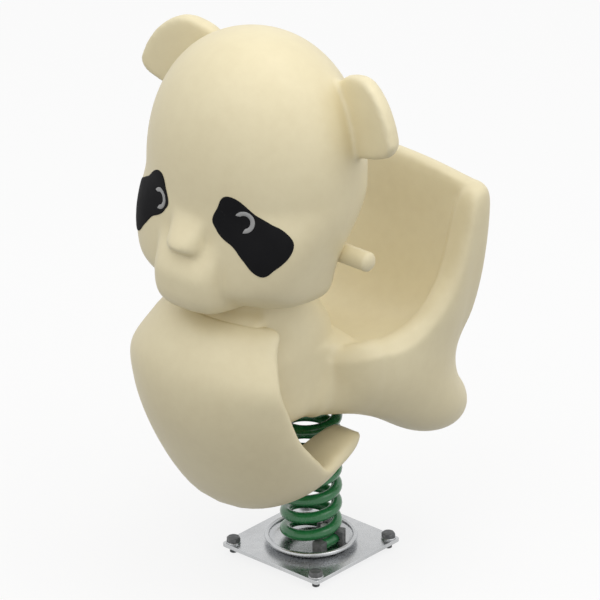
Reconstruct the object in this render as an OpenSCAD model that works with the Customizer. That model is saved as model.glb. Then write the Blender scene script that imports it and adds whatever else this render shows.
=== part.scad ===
// Spring rider with a panda body: hollow mouldings on a coil spring, bolted to a square base plate.
// Units are millimetres. Z = 0 is the underside of the base plate, the spring stands on the Z axis
// and the face looks towards -Y.

/* [Base] */
// Side of the square base plate
plate_w = 200; // [170:1:260]
// Thickness of the base plate
plate_t = 7; // [5:0.5:12]
// Diameter of an anchor bolt
anchor_d = 12; // [10:1:16]
// Distance from an anchor bolt to the plate's edges
anchor_inset = 13; // [12:0.5:24]
// Length of an anchor bolt below the plate
anchor_reach = 10; // [6:1:30]
// Diameter of the dish round the spring's foot, over its rolled lip
dish_d = 148; // [146:1:158]
// Height of the dish
dish_h = 14; // [10:0.5:22]
// Sheet thickness of the dish
dish_t = 3; // [2:0.5:5]

/* [Spring] */
// Outer diameter of the coil
coil_d = 99; // [90:1:108]
// Diameter of the spring rod
wire_d = 18; // [14:0.5:18.5]
// Height between the dish's floor and the carrier plate
spring_h = 278; // [270:1:330]
// Number of turns, with both ends
coil_turns = 9; // [6:1:9]

/* [Carrier] */
// Width of the steel carrier plate under the mouldings
carrier_w = 132; // [124:1:138]
// Length of the carrier plate
carrier_l = 212; // [200:1:230]
// Thickness of the carrier plate
carrier_t = 8; // [6:0.5:12]

/* [Torso] */
// Height of the torso from the carrier plate to the head
torso_h = 222; // [205:1:240]
// Width of the torso
torso_w = 212; // [196:1:226]
// Width of the neck
neck_w = 172; // [150:1:190]

/* [Seat] */
// Overall width of the seat
seat_w = 394; // [375:1:430]
// Length of the seat from the torso to the back
seat_l = 238; // [225:1:260]
// Height of the back rest's top above the carrier plate
seat_back_h = 322; // [290:1:350]
// Height of the seat's low side rims above the carrier plate
seat_rim_h = 122; // [112:1:132]
// Height of the seat pan above the carrier plate
seat_pan_h = 80; // [70:1:90]
// Thickness of the rolled rims
rim_t = 46; // [40:1:54]
// Half width of a hind leg
leg_r = 60; // [50:1:64]
// Depth of a hind leg below its middle
leg_drop = 70; // [55:1:80]

/* [Shield] */
// Width of the front shield at its widest
shield_w = 324; // [300:1:350]
// Thickness of the front shield
shield_t = 44; // [36:1:50]
// Set-back of the shield's side edges behind its middle
shield_bow = 78; // [60:1:90]

/* [Head] */
// Width of the head
head_w = 356; // [330:1:380]
// Depth of the face in front of the head's middle
face_d = 150; // [138:1:165]
// Depth of the skull behind the head's middle
skull_d = 166; // [150:1:180]
// Height of the lower half of the head
jaw_h = 187; // [175:1:200]
// Height of the dome above the widest level
dome_h = 222; // [200:1:240]
// Radius of the jaw's lower edge
jaw_r = 34; // [28:1:38]
// Width of the muzzle
muzzle_w = 124; // [108:1:136]
// Width of the nose
nose_w = 68; // [56:1:78]

/* [Ears and eyes] */
// Height of an ear
ear_h = 136; // [120:1:148]
// Thickness of an ear, front to back
ear_t = 34; // [28:1:42]
// Reach of an ear beyond the head's widest side
ear_reach = 80; // [70:1:90]
// Length of an eye patch
patch_l = 136; // [120:1:146]
// Outer diameter of the eye's pale crescent
glint_d = 32; // [26:1:36]

/* [Handle] */
// Length of the handle from tip to tip
handle_l = 414; // [390:1:440]
// Diameter of a hand grip
grip_d = 31; // [28:0.5:35]
// Diameter of the steel tube inside the grips
tube_d = 21; // [16:0.5:24]

/* [Walls and fits] */
// Wall thickness of the mouldings
wall = 6; // [4:0.5:8]
// Gap between curved pieces that meet
gap = 0.4; // [0.3:0.05:0.6]
// Radial clearance of a bolt in its hole
bolt_gap = 0.4; // [0.2:0.05:0.8]
// Diameter of the bolts that join the mouldings
bolt_d = 10; // [8:0.5:12]
// Diameter of the clamp bolts
clamp_bolt_d = 8; // [6:0.5:10]

/* [Hidden] */
cream = "#f5ecc8";
green = "#1f7a3a";
steel = "#aeb2b4";
dark_steel = "#5d6164";
black = "#1c1c1e";

// Levels, from the ground up
floor_z = plate_t + dish_t;
carrier_z = floor_z + spring_h;
deck_z = carrier_z + carrier_t;
head_z = deck_z + torso_h;
round_fn = 48;

// Fasteners
anchor_at = plate_w / 2 - anchor_inset;
washer_t = 2.5;
washer_d = anchor_d * 2;
anchor_waist = anchor_d - 1.2;
head_flats = 1.6;
head_ratio = 0.62;

// Spring: flat ends, eased into an even pitch
wire_r = wire_d / 2;
coil_r = coil_d / 2 - wire_r;
flat_turn = 0.2;
ease_turn = 0.2;
coil_z = floor_z + wire_r + gap;
coil_rise = spring_h - wire_d - 2 * gap;
coil_pitch = coil_rise / (coil_turns - 2 * flat_turn - ease_turn);
coil_steps = 12;
wire_sides = 8;

// Clamps over the spring's end turns, bolted down inside the coil
clamp_turns = [0.07, 0.235];
clamp_gap = 1;
clamp_w = 18;
clamp_wall = 3;
clamp_edge_turn = clamp_turns[0] - clamp_w / (2 * PI * coil_r) / 2;
clamp_roof = 0.75 * (coil_height(1 + clamp_edge_turn) - wire_d - clamp_gap);
clamp_top = wire_d + gap + clamp_gap + clamp_roof;
clamp_bolt_r = coil_r - wire_r - clamp_gap - clamp_wall - clamp_bolt_d / 2 - bolt_gap;
clamp_tab_d = clamp_bolt_d * 1.9;
clamp_out = coil_d / 2 + clamp_gap + clamp_wall + 1;
// End stop, kept under the turn above it
stop_t = 14;
stop_turn = 1 - atan2(wire_d + gap + stop_t, coil_r - wire_r) / 360;
stop_h = min(wire_d + gap, coil_height(stop_turn));

// Places of the bolts through the mouldings
carrier_front = -130;
torso_bolt_at = [48, -95];
seat_bolt_at = [48, 52];
neck_bolt_at = [[44, -118], [44, -176]];
shield_bolt_h = [56, 90];
nut_h = bolt_d * 0.8;

// Head's plan: middle of its rings, and the sharpness of the face's corners
head_y = -131;
dome_power = 2.15;
face_square = 1.1;
head_sides = 48;
floor_hole = 0.4;
handle_at = [-95, 74];

// Snout: a flat-fronted muzzle, and a nose that slopes up into the brow
muzzle_level = 44;
muzzle_half_h = 50;
muzzle_reach = 27;
muzzle_square = 3.2;
nose_low = 75;
nose_top = 110;
nose_reach = 32;
brow_h = 168;
snout_soft = 0.2;

// Torso's plan
torso_back = -18;
neck_back = -64;
neck_front = -222;
hip_h = 112;
hip_drop = 130;
hip_fade = 26;
hip_fall = 1.23;
neck_blend = 50;
chest_blend = 44;
torso_round = 14;

// Seat's lengthwise curves, as [share of the length, share of the height or width]
seat_front = torso_back + 1;
rim_curve = [[0, 0.02], [0.07, 0], [0.24, 0.04], [0.41, 0.16], [0.58, 0.38], [0.68, 0.65],
             [0.76, 0.93], [0.845, 1], [1, 1]];
width_curve = [[0, 0.845], [0.07, 0.873], [0.41, 0.964], [0.70, 1], [0.87, 0.995], [1, 0.965]];
pan_curve = [[0, 0.025], [0.07, 0.017], [0.32, 0], [0.51, 0.066], [0.64, 0.24], [0.75, 0.64],
             [0.83, 1.02], [1, 1.06]];
base_curve = [[0, 0], [0.58, 0], [0.74, 0.025], [0.89, 0.17], [1, 0.42]];
// Seat's cross-section below the rim, as [share of the half width, share of the height]
flank = [[0.66, 0.05], [0.74, 0.10], [0.81, 0.17], [0.87, 0.26], [0.94, 0.45], [0.985, 0.68], [1, 0.87]];
back_round = 31;
back_crown = 14;
seat_stations = 20;
leg_at = [118, 108, -24];
leg_len = 112;
leg_tilt = 0.434;
leg_blend = 30;
leg_tuck = 0.85;
tuck_blend = 20;
tuck_from = -10;
tuck_to = 25;
// Flat middle of the seat's underside on the carrier plate, and the inner side of a hind leg
flat_x = carrier_w / 2 + 4;
leg_in = leg_at[0] - flat_x;
under_x = [0, flat_x / 2, flat_x, leg_at[0] - 0.75 * leg_in, leg_at[0] - 0.4 * leg_in];

// Shield's side view, from under the chin down to the foot boards' tips, as [y, height above the deck]
shield_path = [[-258, 208], [-281, 172], [-297, 118], [-294, 54], [-270, -14], [-236, -80],
               [-198, -122], [-145, -132], [-86, -110], [-26, -72]];
shield_width = [[0, 0.70], [0.11, 0.79], [0.22, 0.925], [0.33, 0.95], [0.5, 0.935], [0.7, 0.88],
                [0.85, 0.83], [1, 0.76]];
shield_thick = [[0, 0.68], [0.3, 1], [0.6, 1], [0.9, 1], [1, 0.95]];
// Set-back of the side edges along the shield, and its direction above level
shield_curl = [[0, 2.0], [0.11, 1.25], [0.22, 0.9], [0.33, 1.02], [0.45, 1.1], [0.56, 1.35],
               [0.67, 1.5], [0.78, 1.3], [0.89, 0.8], [1, 0.2]];
shield_lean = [[0, -25], [0.2, -8], [0.4, 17], [0.6, 43], [0.8, 68], [1, 82]];
bow_power = 2.2;
shield_sides = 36;
shield_rings = 20;
shield_end = 0.05;
// Notch in the foot boards' edge round the spring
notch_side = 0.5;
notch_blend = 22.5;
notch_x = [coil_d / 2 + notch_side, coil_d / 2 + notch_side + notch_blend];
notch_depth = 0.095;
shield_rear = 0.6;

// Smooth step from 0 at a to 1 at b
function ease(a, b, x) =
    let (s = min(1, max(0, (x - a) / (b - a))))
    s * s * (3 - 2 * s);

// Slope at key i of a smooth curve
function key_slope(keys, i) =
    let (a = max(0, i - 1), b = min(len(keys) - 1, i + 1))
    (keys[b][1] - keys[a][1]) / (keys[b][0] - keys[a][0]);

// Stretch of the curve that holds t
function key_span(keys, t, i = 0) =
    i >= len(keys) - 2 || t < keys[i + 1][0] ? i : key_span(keys, t, i + 1);

// Smooth curve through a few [place, value] keys
function curve(keys, place) =
    let (t = min(max(place, keys[0][0]), keys[len(keys) - 1][0]),
         i = key_span(keys, t),
         h = keys[i + 1][0] - keys[i][0],
         s = (t - keys[i][0]) / h)
    (2 * s ^ 3 - 3 * s ^ 2 + 1) * keys[i][1]
    + (s ^ 3 - 2 * s ^ 2 + s) * h * key_slope(keys, i)
    + (3 * s ^ 2 - 2 * s ^ 3) * keys[i + 1][1]
    + (s ^ 3 - s ^ 2) * h * key_slope(keys, i + 1);

// Smaller of two values, blended where they are within k of each other
function blend_min(a, b, k) =
    let (h = max(0, k - abs(a - b)) / k)
    min(a, b) - h * h * k / 4;

// Signed power, for superellipses
function spow(v, e) = sign(v) * abs(v) ^ e;

// Radius of a superellipse in the direction of an angle
function oval_r(a, b, n, angle) =
    (abs(cos(angle) / a) ^ n + abs(sin(angle) / b) ^ n) ^ (-1 / n);

// Middle point of a ring
function ring_mid(ring) = [for (k = [0:2]) sum_axis(ring, k) / len(ring)];
function sum_axis(ring, k, i = 0) = i == len(ring) ? 0 : ring[i][k] + sum_axis(ring, k, i + 1);
function reversed(list) = [for (i = [len(list) - 1:-1:0]) list[i]];

// End faces of a ring of n points: a fan round its middle point, or a strip across the ring
function fan(n, first, mid) = [for (j = [0:n - 1]) [mid, first + j, first + (j + 1) % n]];
function strip(n, first) =
    [for (k = [0:n / 2 - 1])
        let (a = first + k, b = a + 1, c = first + n - k - 1, d = first + (n - k) % n)
        each [if (b != c) [a, b, c], if (d != a) [a, c, d]]];
function turned(faces) = [for (f = faces) reversed(f)];

// Closed surface through a chain of rings; strip ends suit rings that are flat and curved
module skin(rings, flip = false, strip_ends = false) {
    n = len(rings[0]);
    m = len(rings);
    last = (m - 1) * n;
    mids = strip_ends ? [] : [ring_mid(rings[0]), ring_mid(rings[m - 1])];
    points = concat([for (ring = rings, p = ring) p], mids);
    sides = [for (i = [0:m - 2], j = [0:n - 1])
        let (a = i * n + j, b = i * n + (j + 1) % n, c = a + n, d = b + n)
        each [[a, c, d], [a, d, b]]];
    ends = strip_ends
        ? concat(strip(n, 0), turned(strip(n, last)))
        : concat(fan(n, 0, n * m), turned(fan(n, last, n * m + 1)));
    faces = concat(sides, ends);
    polyhedron(points, flip ? turned(faces) : faces, convexity = 8);
}

// Hollow moulding: outer and inner rings both start at its opening
module hollow(outer, inner, flip = false, strip_ends = false) {
    skin(concat(reversed(outer), inner), flip, strip_ends);
}

module mirror_pair() {
    children();
    mirror([1, 0, 0]) children();
}

module hex(flats, h) {
    cylinder(d = flats / cos(30), h = h, $fn = 6);
}

// Bolt along +Z with its head's seat at Z = 0 and the head below
module bolt(d, length) {
    cylinder(d = d, h = length, $fn = round_fn);
    translate([0, 0, -d * head_ratio])
        hex(d * head_flats, d * head_ratio);
}

module nut(d, h) {
    difference() {
        hex(d * head_flats, h);
        translate([0, 0, -1])
            cylinder(d = d + 2 * bolt_gap, h = h + 2, $fn = round_fn);
    }
}

module at_anchors() {
    for (x = [-anchor_at, anchor_at], y = [-anchor_at, anchor_at])
        translate([x, y, 0])
            children();
}

module at_clamps() {
    for (turn = clamp_turns)
        rotate(turn * 360)
            children();
}

module base_plate() {
    color(steel)
    difference() {
        translate([-plate_w / 2, -plate_w / 2, 0])
            cube([plate_w, plate_w, plate_t]);
        translate([0, 0, -1])
            at_anchors()
                cylinder(d = anchor_d + 2 * bolt_gap, h = plate_t + 2, $fn = round_fn);
        translate([0, 0, -1])
            at_clamps()
                translate([clamp_bolt_r, 0, 0])
                    cylinder(d = clamp_bolt_d + 2 * bolt_gap, h = plate_t + 2, $fn = round_fn);
    }
}

// Anchor bolts: a waisted shank through the plate, and the full diameter below it
module anchor_bolts() {
    color(dark_steel)
    at_anchors()
        union() {
            translate([0, 0, plate_t + washer_t])
                hex(anchor_d * head_flats, anchor_d * head_ratio);
            cylinder(d = anchor_waist, h = plate_t + washer_t, $fn = round_fn);
            translate([0, 0, -anchor_reach])
                cylinder(d = anchor_d, h = anchor_reach, $fn = round_fn);
        }
}

module anchor_washers() {
    color(steel)
    at_anchors()
        translate([0, 0, plate_t])
            difference() {
                cylinder(d = washer_d, h = washer_t, $fn = round_fn);
                translate([0, 0, -1])
                    cylinder(d = anchor_d + 2 * bolt_gap, h = washer_t + 2, $fn = round_fn);
            }
}

// Shallow pressed dish with a rolled lip
module spring_dish() {
    lip_r = dish_t * 1.3;
    rim = dish_d / 2 - lip_r;
    foot = rim - dish_h * 0.45;
    color(steel)
    difference() {
        translate([0, 0, plate_t])
            rotate_extrude($fn = round_fn * 2)
                union() {
                    square([foot, dish_t]);
                    polygon([[foot - dish_t, 0], [foot, 0], [rim + dish_t / 2, dish_h - lip_r],
                             [rim - dish_t / 2, dish_h - lip_r], [foot - dish_t, dish_t]]);
                    translate([rim, dish_h - lip_r])
                        circle(r = lip_r, $fn = round_fn);
                }
        at_clamps()
            translate([clamp_bolt_r, 0, 0])
                cylinder(d = clamp_bolt_d + 2 * bolt_gap, h = plate_t + dish_h, $fn = round_fn);
    }
}

// Saddle over the rod of an end turn, standing on Z = 0, with a round tab for its bolt
module saddle() {
    difference() {
        union() {
            translate([clamp_bolt_r, -clamp_tab_d / 2, 0])
                cube([coil_r - clamp_bolt_r, clamp_tab_d, clamp_top]);
            translate([clamp_bolt_r, 0, 0])
                cylinder(d = clamp_tab_d, h = clamp_top, $fn = round_fn);
            translate([coil_r - wire_r - clamp_gap - clamp_wall, -clamp_w / 2, 0])
                cube([clamp_out - coil_r + wire_r + clamp_gap + clamp_wall, clamp_w, clamp_top]);
        }
        rotate([0, 0, -45])
            rotate_extrude(angle = 90, $fn = round_fn * 2)
                translate([coil_r, wire_r + gap])
                    union() {
                        circle(r = wire_r + clamp_gap, $fn = round_fn);
                        translate([-wire_r - clamp_gap, -wire_d])
                            square([wire_d + 2 * clamp_gap, wire_d]);
                    }
        translate([clamp_bolt_r, 0, -1])
            cylinder(d = clamp_bolt_d + 2 * bolt_gap, h = clamp_top + 2, $fn = round_fn);
    }
}

// Block whose face meets the square end of the rod
module end_stop() {
    translate([coil_r - wire_r, -wire_d - gap - stop_t, 0])
        cube([wire_d, stop_t, stop_h]);
}

module saddle_bolt(under) {
    translate([clamp_bolt_r, 0, clamp_top])
        mirror([0, 0, 1])
            bolt(clamp_bolt_d, clamp_top + under);
}

module lower_clamps() {
    color(dark_steel)
    translate([0, 0, floor_z])
        at_clamps()
            saddle();
}

module lower_clamp_bolts() {
    color(steel)
    translate([0, 0, floor_z])
        at_clamps()
            saddle_bolt(floor_z);
}

module lower_end_stop() {
    color(dark_steel)
    translate([0, 0, floor_z])
        end_stop();
}

// The upper fittings are the lower ones turned over about the X axis
module turned_over() {
    translate([0, 0, carrier_z])
        rotate([180, 0, 0])
            rotate(-coil_turns * 360)
                children();
}

module upper_clamps() {
    color(dark_steel)
    turned_over()
        at_clamps()
            saddle();
}

module upper_clamp_bolts() {
    color(steel)
    turned_over()
        at_clamps()
            saddle_bolt(carrier_t);
}

module upper_end_stop() {
    color(dark_steel)
    turned_over()
        end_stop();
}

// Height of the rod's middle line after some turns
function eased(x) = x <= 0 ? 0 : x < ease_turn ? x ^ 2 / (2 * ease_turn) : x - ease_turn / 2;
function coil_height(turn) =
    turn < coil_turns / 2
    ? coil_pitch * eased(turn - flat_turn)
    : coil_rise - coil_pitch * eased(coil_turns - flat_turn - turn);

// Middle line of the rod: a straight run of one diameter at each end, and the helix between
function coil_mid(turn) =
    [coil_r * cos(turn * 360), coil_r * sin(turn * 360), coil_z + coil_height(turn)];
function coil_ring(turn, along = 0) =
    let (out = [cos(turn * 360), sin(turn * 360), 0], way = [-out[1], out[0], 0])
    [for (k = [0:wire_sides - 1])
        coil_mid(turn) + way * along
        + wire_r * (out * cos(k * 360 / wire_sides) + [0, 0, sin(k * 360 / wire_sides)])];

fine_turn = 0.3;
fine_steps = 10;
even_steps = round(coil_steps * (coil_turns - 2 * fine_turn));
coil_list = concat(
    [for (i = [0:fine_steps - 1]) fine_turn * i / fine_steps],
    [for (i = [0:even_steps]) fine_turn + (coil_turns - 2 * fine_turn) * i / even_steps],
    [for (i = [1:fine_steps]) coil_turns - fine_turn + fine_turn * i / fine_steps]);
coil_line = concat([coil_mid(0) - [0, wire_d, 0]], [for (t = coil_list) coil_mid(t)],
                   [coil_mid(coil_turns) + [0, wire_d, 0]]);
coil_gap = min([for (i = [0:len(coil_line) - 1], j = [i + coil_steps - 2:len(coil_line) - 1])
    norm(coil_line[i] - coil_line[j])]) - wire_d;

module coil_spring() {
    echo(least_gap_between_turns = coil_gap);
    color(green)
    skin(concat([coil_ring(0, -wire_d)], [for (t = coil_list) coil_ring(t)],
                [coil_ring(coil_turns, wire_d)]), flip = true);
}

module at_carrier_bolts() {
    mirror_pair()
        for (p = [torso_bolt_at, seat_bolt_at])
            translate([p[0], p[1], 0])
                children();
}

module carrier_plate() {
    color(dark_steel)
    difference() {
        translate([-carrier_w / 2, carrier_front, carrier_z])
            cube([carrier_w, carrier_l, carrier_t]);
        translate([0, 0, carrier_z - 1])
            at_carrier_bolts()
                cylinder(d = bolt_d + 2 * bolt_gap, h = carrier_t + 2, $fn = round_fn);
        turned_over()
            at_clamps()
                translate([clamp_bolt_r, 0, -carrier_t - 1])
                    cylinder(d = clamp_bolt_d + 2 * bolt_gap, h = carrier_t + 2, $fn = round_fn);
    }
}

module carrier_bolts() {
    color(steel)
    translate([0, 0, carrier_z])
        at_carrier_bolts()
            bolt(bolt_d, carrier_t + wall + nut_h);
}

module carrier_nuts() {
    color(steel)
    translate([0, 0, deck_z + wall])
        at_carrier_bolts()
            nut(bolt_d, nut_h);
}

// Front shield

function shield_point(t) =
    let (n = len(shield_path) - 1,
         ys = [for (i = [0:n]) [i / n, shield_path[i][0]]],
         hs = [for (i = [0:n]) [i / n, shield_path[i][1]]])
    [curve(ys, t), curve(hs, t)];

// Ring across the shield: a flat oval, bent back at its sides and drawn forward round the spring
function shield_ring(t, inset) =
    let (half = shield_w / 2 * curve(shield_width, t) - inset,
         end = sqrt(max(0.04, 1 - max(0, (t - 1 + shield_end) / shield_end) ^ 2)))
    [for (j = [0:shield_sides - 1])
        let (a = j * 360 / shield_sides,
             x = half * spow(cos(a), 0.55),
             notch = notch_depth * ease(0.6, 1, t) * (1 - ease(notch_x[0], notch_x[1], abs(x))),
             s = t * (1 - notch),
             p = shield_point(s),
             d = shield_point(min(1, s + 0.002)) - shield_point(max(0, s - 0.002)),
             out = [d[1], -d[0]] / norm(d),
             lean = curve(shield_lean, s),
             bow = shield_bow * curve(shield_curl, s) * (abs(x) / (shield_w / 2)) ^ bow_power,
             slope = bow_power * bow / max(1, abs(x)),
             full = shield_t / 2 * curve(shield_thick, s) * end - inset,
             thick = full * spow(sin(a), 0.75) / norm([1, slope]))
        [x + sign(x) * thick * slope,
         p[0] + out[0] * thick + cos(lean) * bow,
         deck_z + p[1] + out[1] * thick + sin(lean) * bow]];

module shield_cut() {
    for (h = shield_bolt_h)
        translate([0, shield_front_y, deck_z + h])
            rotate([-90, 0, 0])
                cylinder(d = bolt_d + 2 * bolt_gap, h = shield_reach, $fn = round_fn);
}

// Middle surface of the shield above the deck, as a function of the height
shield_upright = reversed([for (i = [0:4]) [shield_path[i][1], shield_path[i][0]]]);
function shield_y(h) = curve(shield_upright, h);
shield_front_y = -330;
shield_reach = 110;
shield_list = [for (i = [0:shield_rings]) i / shield_rings];
shield_inside = [for (i = [0:shield_rings]) i / shield_rings * (1 - 1.2 * shield_end)];

module front_shield() {
    color(cream)
    difference() {
        hollow([for (t = shield_list) shield_ring(t, 0)],
               [for (t = shield_inside) shield_ring(t, wall)], flip = true, strip_ends = true);
        translate([0, shield_t / 2, 0])
            shield_cut();
    }
}

// Torso

function torso_front(h) =
    h < hip_h ? shield_y(h) + shield_t * shield_rear
    : let (s = ease(hip_h, hip_h + chest_blend, h))
      (shield_y(hip_h) + shield_t * shield_rear) * (1 - s) + neck_front * s;
function torso_rear(h) = torso_back + (neck_back - torso_back) * ease(hip_top + 6, torso_h, h);
function torso_half(h) = torso_w / 2 + (neck_w - torso_w) / 2 * ease(hip_h, torso_h, h);

// Half width of the hips at height h: the seat's front section, drawn in above its rim
hip_half = seat_w / 2 * width_curve[0][1];
hip_top = seat_rim(seat_front);
hip_curve = concat([[0.01, 0.55]], [for (f = flank) [f[1], f[0]]], [[0.95, 0.98], [1, 0.90]]);
function hip_share(h, top) =
    h <= top ? curve(hip_curve, h / top) : curve(hip_curve, 1) * (1 - ease(top, top + hip_fade, h));
function hip_scale(h, top) = max(0, hip_half * hip_share(h, top) / torso_half(h) - 1);

// Height of the hips' crest, which falls towards the front; v is 1 at the torso's back and 0 at its middle
function hip_crest(v) = hip_top - hip_drop * min(0.62, 1 - v) ^ hip_fall;

// Directions round the torso: an arc at the front, then the right side, the back and the left side
side_steps = [0.15, 0.3, 0.45, 0.6, 0.75, 0.9];
back_steps = [1, 0.75, 0.45, 0.15, -0.15, -0.45, -0.75, -1];
torso_ways = concat([for (a = [180:10:360]) [cos(a), sin(a)]], [for (s = side_steps) [1, s]],
                    [for (s = back_steps) [s, 1]], [for (s = reversed(side_steps)) [-1, s]]);
front_power = 2.3;
hip_power = 30;
neck_power = 2.6;

// Point of the torso in one of its directions, widened at the back where it meets the seat
function torso_point(way, h, inset, scale = 1) =
    let (yf = torso_front(h) + inset,
         yb = torso_rear(h) - inset,
         half = (torso_half(h) - inset) * scale,
         n = way[1] < 0 ? front_power
             : hip_power + (neck_power - hip_power)
               * ease(hip_top - neck_blend / 2, hip_top + neck_blend / 2, h),
         f = (abs(way[0]) ^ n + abs(way[1]) ^ n) ^ (-1 / n),
         hip = hip_scale(h, hip_crest(way[1])) * ease(0.1, 0.75, way[1]))
    [half * way[0] * f * (1 + hip), (yf + yb) / 2 + (yb - yf) / 2 * scale * way[1] * f, deck_z + h];
function torso_ring(h, inset, scale = 1) = [for (way = torso_ways) torso_point(way, h, inset, scale)];

// Rows round the torso follow the hips' crest: one row lies on it and one on its foot
crest_row = 0.6;
fade_row = 0.72;
torso_rows = [0, 0.15, 0.3, 0.42, 0.52, crest_row, 0.64, 0.68, fade_row, 0.76, 0.82, 0.9, 1];
function row_level(row, v) =
    let (crest = hip_crest(v),
         foot = crest + hip_fade)
    row <= crest_row ? crest * row / crest_row
    : row <= fade_row ? crest + hip_fade * (row - crest_row) / (fade_row - crest_row)
    : foot + (torso_h - torso_round - foot) * (row - fade_row) / (1 - fade_row);
function torso_row(row) = [for (way = torso_ways) torso_point(way, row_level(row, way[1]), 0)];
function torso_row_inside(row) =
    [for (way = torso_ways) torso_point(way, max(wall, row_level(row, way[1]) - wall), wall)];

torso_edge = [[0.35, 1], [0.75, 4], [1, 12]];

module torso_shell() {
    top = torso_h;
    color(cream)
    difference() {
        hollow(
            concat([torso_ring(0, 0, floor_hole)],
                   [for (row = torso_rows) torso_row(row)],
                   [for (e = torso_edge) torso_ring(top - torso_round * (1 - e[0]), e[1])]),
            concat([torso_ring(wall, 0, floor_hole)],
                   [for (row = torso_rows) torso_row_inside(row)],
                   [for (e = torso_edge) torso_ring(top - wall - torso_round * (1 - e[0]), wall + e[1])]),
            flip = true);
        translate([0, 0, deck_z - 1])
            at_carrier_bolts()
                cylinder(d = bolt_d + 2 * bolt_gap, h = wall + 2, $fn = round_fn);
        translate([0, 0, head_z - wall - 2])
            at_neck_bolts()
                cylinder(d = bolt_d + 2 * bolt_gap, h = wall + 4, $fn = round_fn);
        translate([0, shield_t, 0])
            shield_cut();
    }
}

// Seat

function seat_share(y) = (y - seat_front) / seat_l;
function seat_rim(y) = seat_rim_h + (seat_back_h - seat_rim_h) * curve(rim_curve, seat_share(y));
function seat_half(y) = seat_w / 2 * curve(width_curve, seat_share(y));
function seat_pan(y) = seat_pan_h + (seat_back_h - seat_pan_h) * curve(pan_curve, seat_share(y));
function seat_base(y) = seat_back_h * max(0, curve(base_curve, seat_share(y)));

// Hind leg's section at y: its share of the full size, and its middle and lowest levels
function leg_share(y, inset) = sqrt(max(0, 1 - ((y - leg_at[1]) / (leg_len - inset)) ^ 2));
function leg_mid(y) = leg_at[2] - leg_tilt * (y - leg_at[1]);
function leg_low(y, inset) = leg_mid(y) - (leg_drop - inset) * leg_share(y, inset);

// Level of the underside at x, drawn down round the hind leg
function leg_under(x, y, h, inset) =
    let (q = leg_share(y, inset) ^ 2 - ((x - leg_at[0]) / (leg_in - inset)) ^ 2)
    q <= 0 ? h : blend_min(h, leg_mid(y) - (leg_drop - inset) * sqrt(q), leg_blend);

// Half width of the flank at level h, pushed out by the hind leg
function leg_side(x, y, h, inset) =
    let (q = leg_share(y, inset) ^ 2 - ((h - leg_mid(y)) / (leg_drop - inset)) ^ 2)
    q <= 0 ? x : -blend_min(-x, -leg_at[0] - (leg_r - inset) * sqrt(q), leg_blend / 2);

// Share by which the flank is tucked in at level h, between the top of the leg and the underside
function flank_tuck(y, h, inset, base) =
    leg_share(y, inset) <= 0 ? 0
    : leg_tuck * ease(tuck_from, tuck_to, base - h)
      * ease(0, tuck_blend, h - leg_mid(y) - (leg_drop - inset) * leg_share(y, inset));

// Point of the flank: the underside up to the leg's middle, and the leg's outer side beyond it
function flank_point(x, h, share, y, inset, base) =
    x < leg_at[0]
    ? [x, leg_under(x, y, h, inset)]
    : let (drop = leg_share(y, inset) > 0 ? 1 - ease(0, 0.3, share) : 0,
           z = h + min(0, leg_low(y, inset) - base) * drop,
           web = leg_at[0] - inset,
           tuck = flank_tuck(y, z, inset, base))
      [web + (leg_side(x, y, z, inset) - web) * (1 - tuck), z];

// Half of the seat's cross-section at y, from the middle of the underside round to the middle of the pan
function seat_half_ring(y, inset) =
    let (rim = seat_rim(y - inset) - inset,
         w = seat_half(y) - inset,
         base = seat_base(y + inset) + inset,
         deep = seat_pan(y - 1.5 * inset) - inset,
         t = rim_t - 2 * inset,
         inner = w - t,
         crown = function(x) min(deep, rim - 2 + back_crown * (1 - (x / (w - t / 2)) ^ 2)),
         lip = max(rim - 0.3 * t, crown(inner)))
    concat(
        [for (x = under_x) [x, leg_under(x, y, base, inset)]],
        [for (f = flank)
            flank_point(w * f[0], base + (rim - base) * f[1], f[1], y, inset, base)],
        [[w - 0.07 * t, rim - 0.26 * t], [w - 0.26 * t, rim - 0.07 * t], [w - t / 2, rim],
         [inner + 0.22 * t, max(rim - 0.09 * t, crown(inner + 0.22 * t))], [inner + 0.02 * t, lip]],
        [for (f = [0.25, 0.5, 0.75])
            let (x = inner * (1 - 0.16 * f ^ 2))
            [x, lip + (crown(x) - lip) * f]],
        [for (q = [[0.74, 0.07], [0.52, 0], [0.25, 0], [0, 0]])
            let (x = inner * q[0])
            [x, crown(x) + (lip - crown(x)) * q[1]]]);

// Whole cross-section, drawn in at the rounded back
function seat_ring(y, inset) =
    let (half = seat_half_ring(y, inset),
         n = len(half),
         ring = concat(half, [for (i = [n - 2:-1:1]) [-half[i][0], half[i][1]]]),
         start = seat_front + seat_l - back_round - inset,
         f = sqrt(max(0, 1 - (max(0, y - start) / back_round) ^ 2)),
         draw = 0.85 * (back_round - inset) * (1 - f),
         mid = (half[0][1] + half[14][1]) / 2,
         tall = (half[14][1] - half[0][1]) / 2)
    [for (p = ring)
        [sign(p[0]) * max(0, abs(p[0]) - draw), y, deck_z + mid + (p[1] - mid) * (1 - draw / tall)]];

seat_list = [for (i = [0:seat_stations])
    let (s = i / seat_stations)
    s < 0.8 ? s * 1.09 : 0.872 + 0.128 * sin((s - 0.8) * 450) * 0.99];

module seat_shell() {
    color(cream)
    difference() {
        hollow([for (s = seat_list) seat_ring(seat_front + s * seat_l, 0)],
               [for (s = seat_list) seat_ring(seat_front + s * (seat_l - wall), wall)], flip = false);
        translate([0, 0, deck_z - 1])
            at_carrier_bolts()
                cylinder(d = bolt_d + 2 * bolt_gap, h = wall + 2, $fn = round_fn);
    }
}

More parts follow.
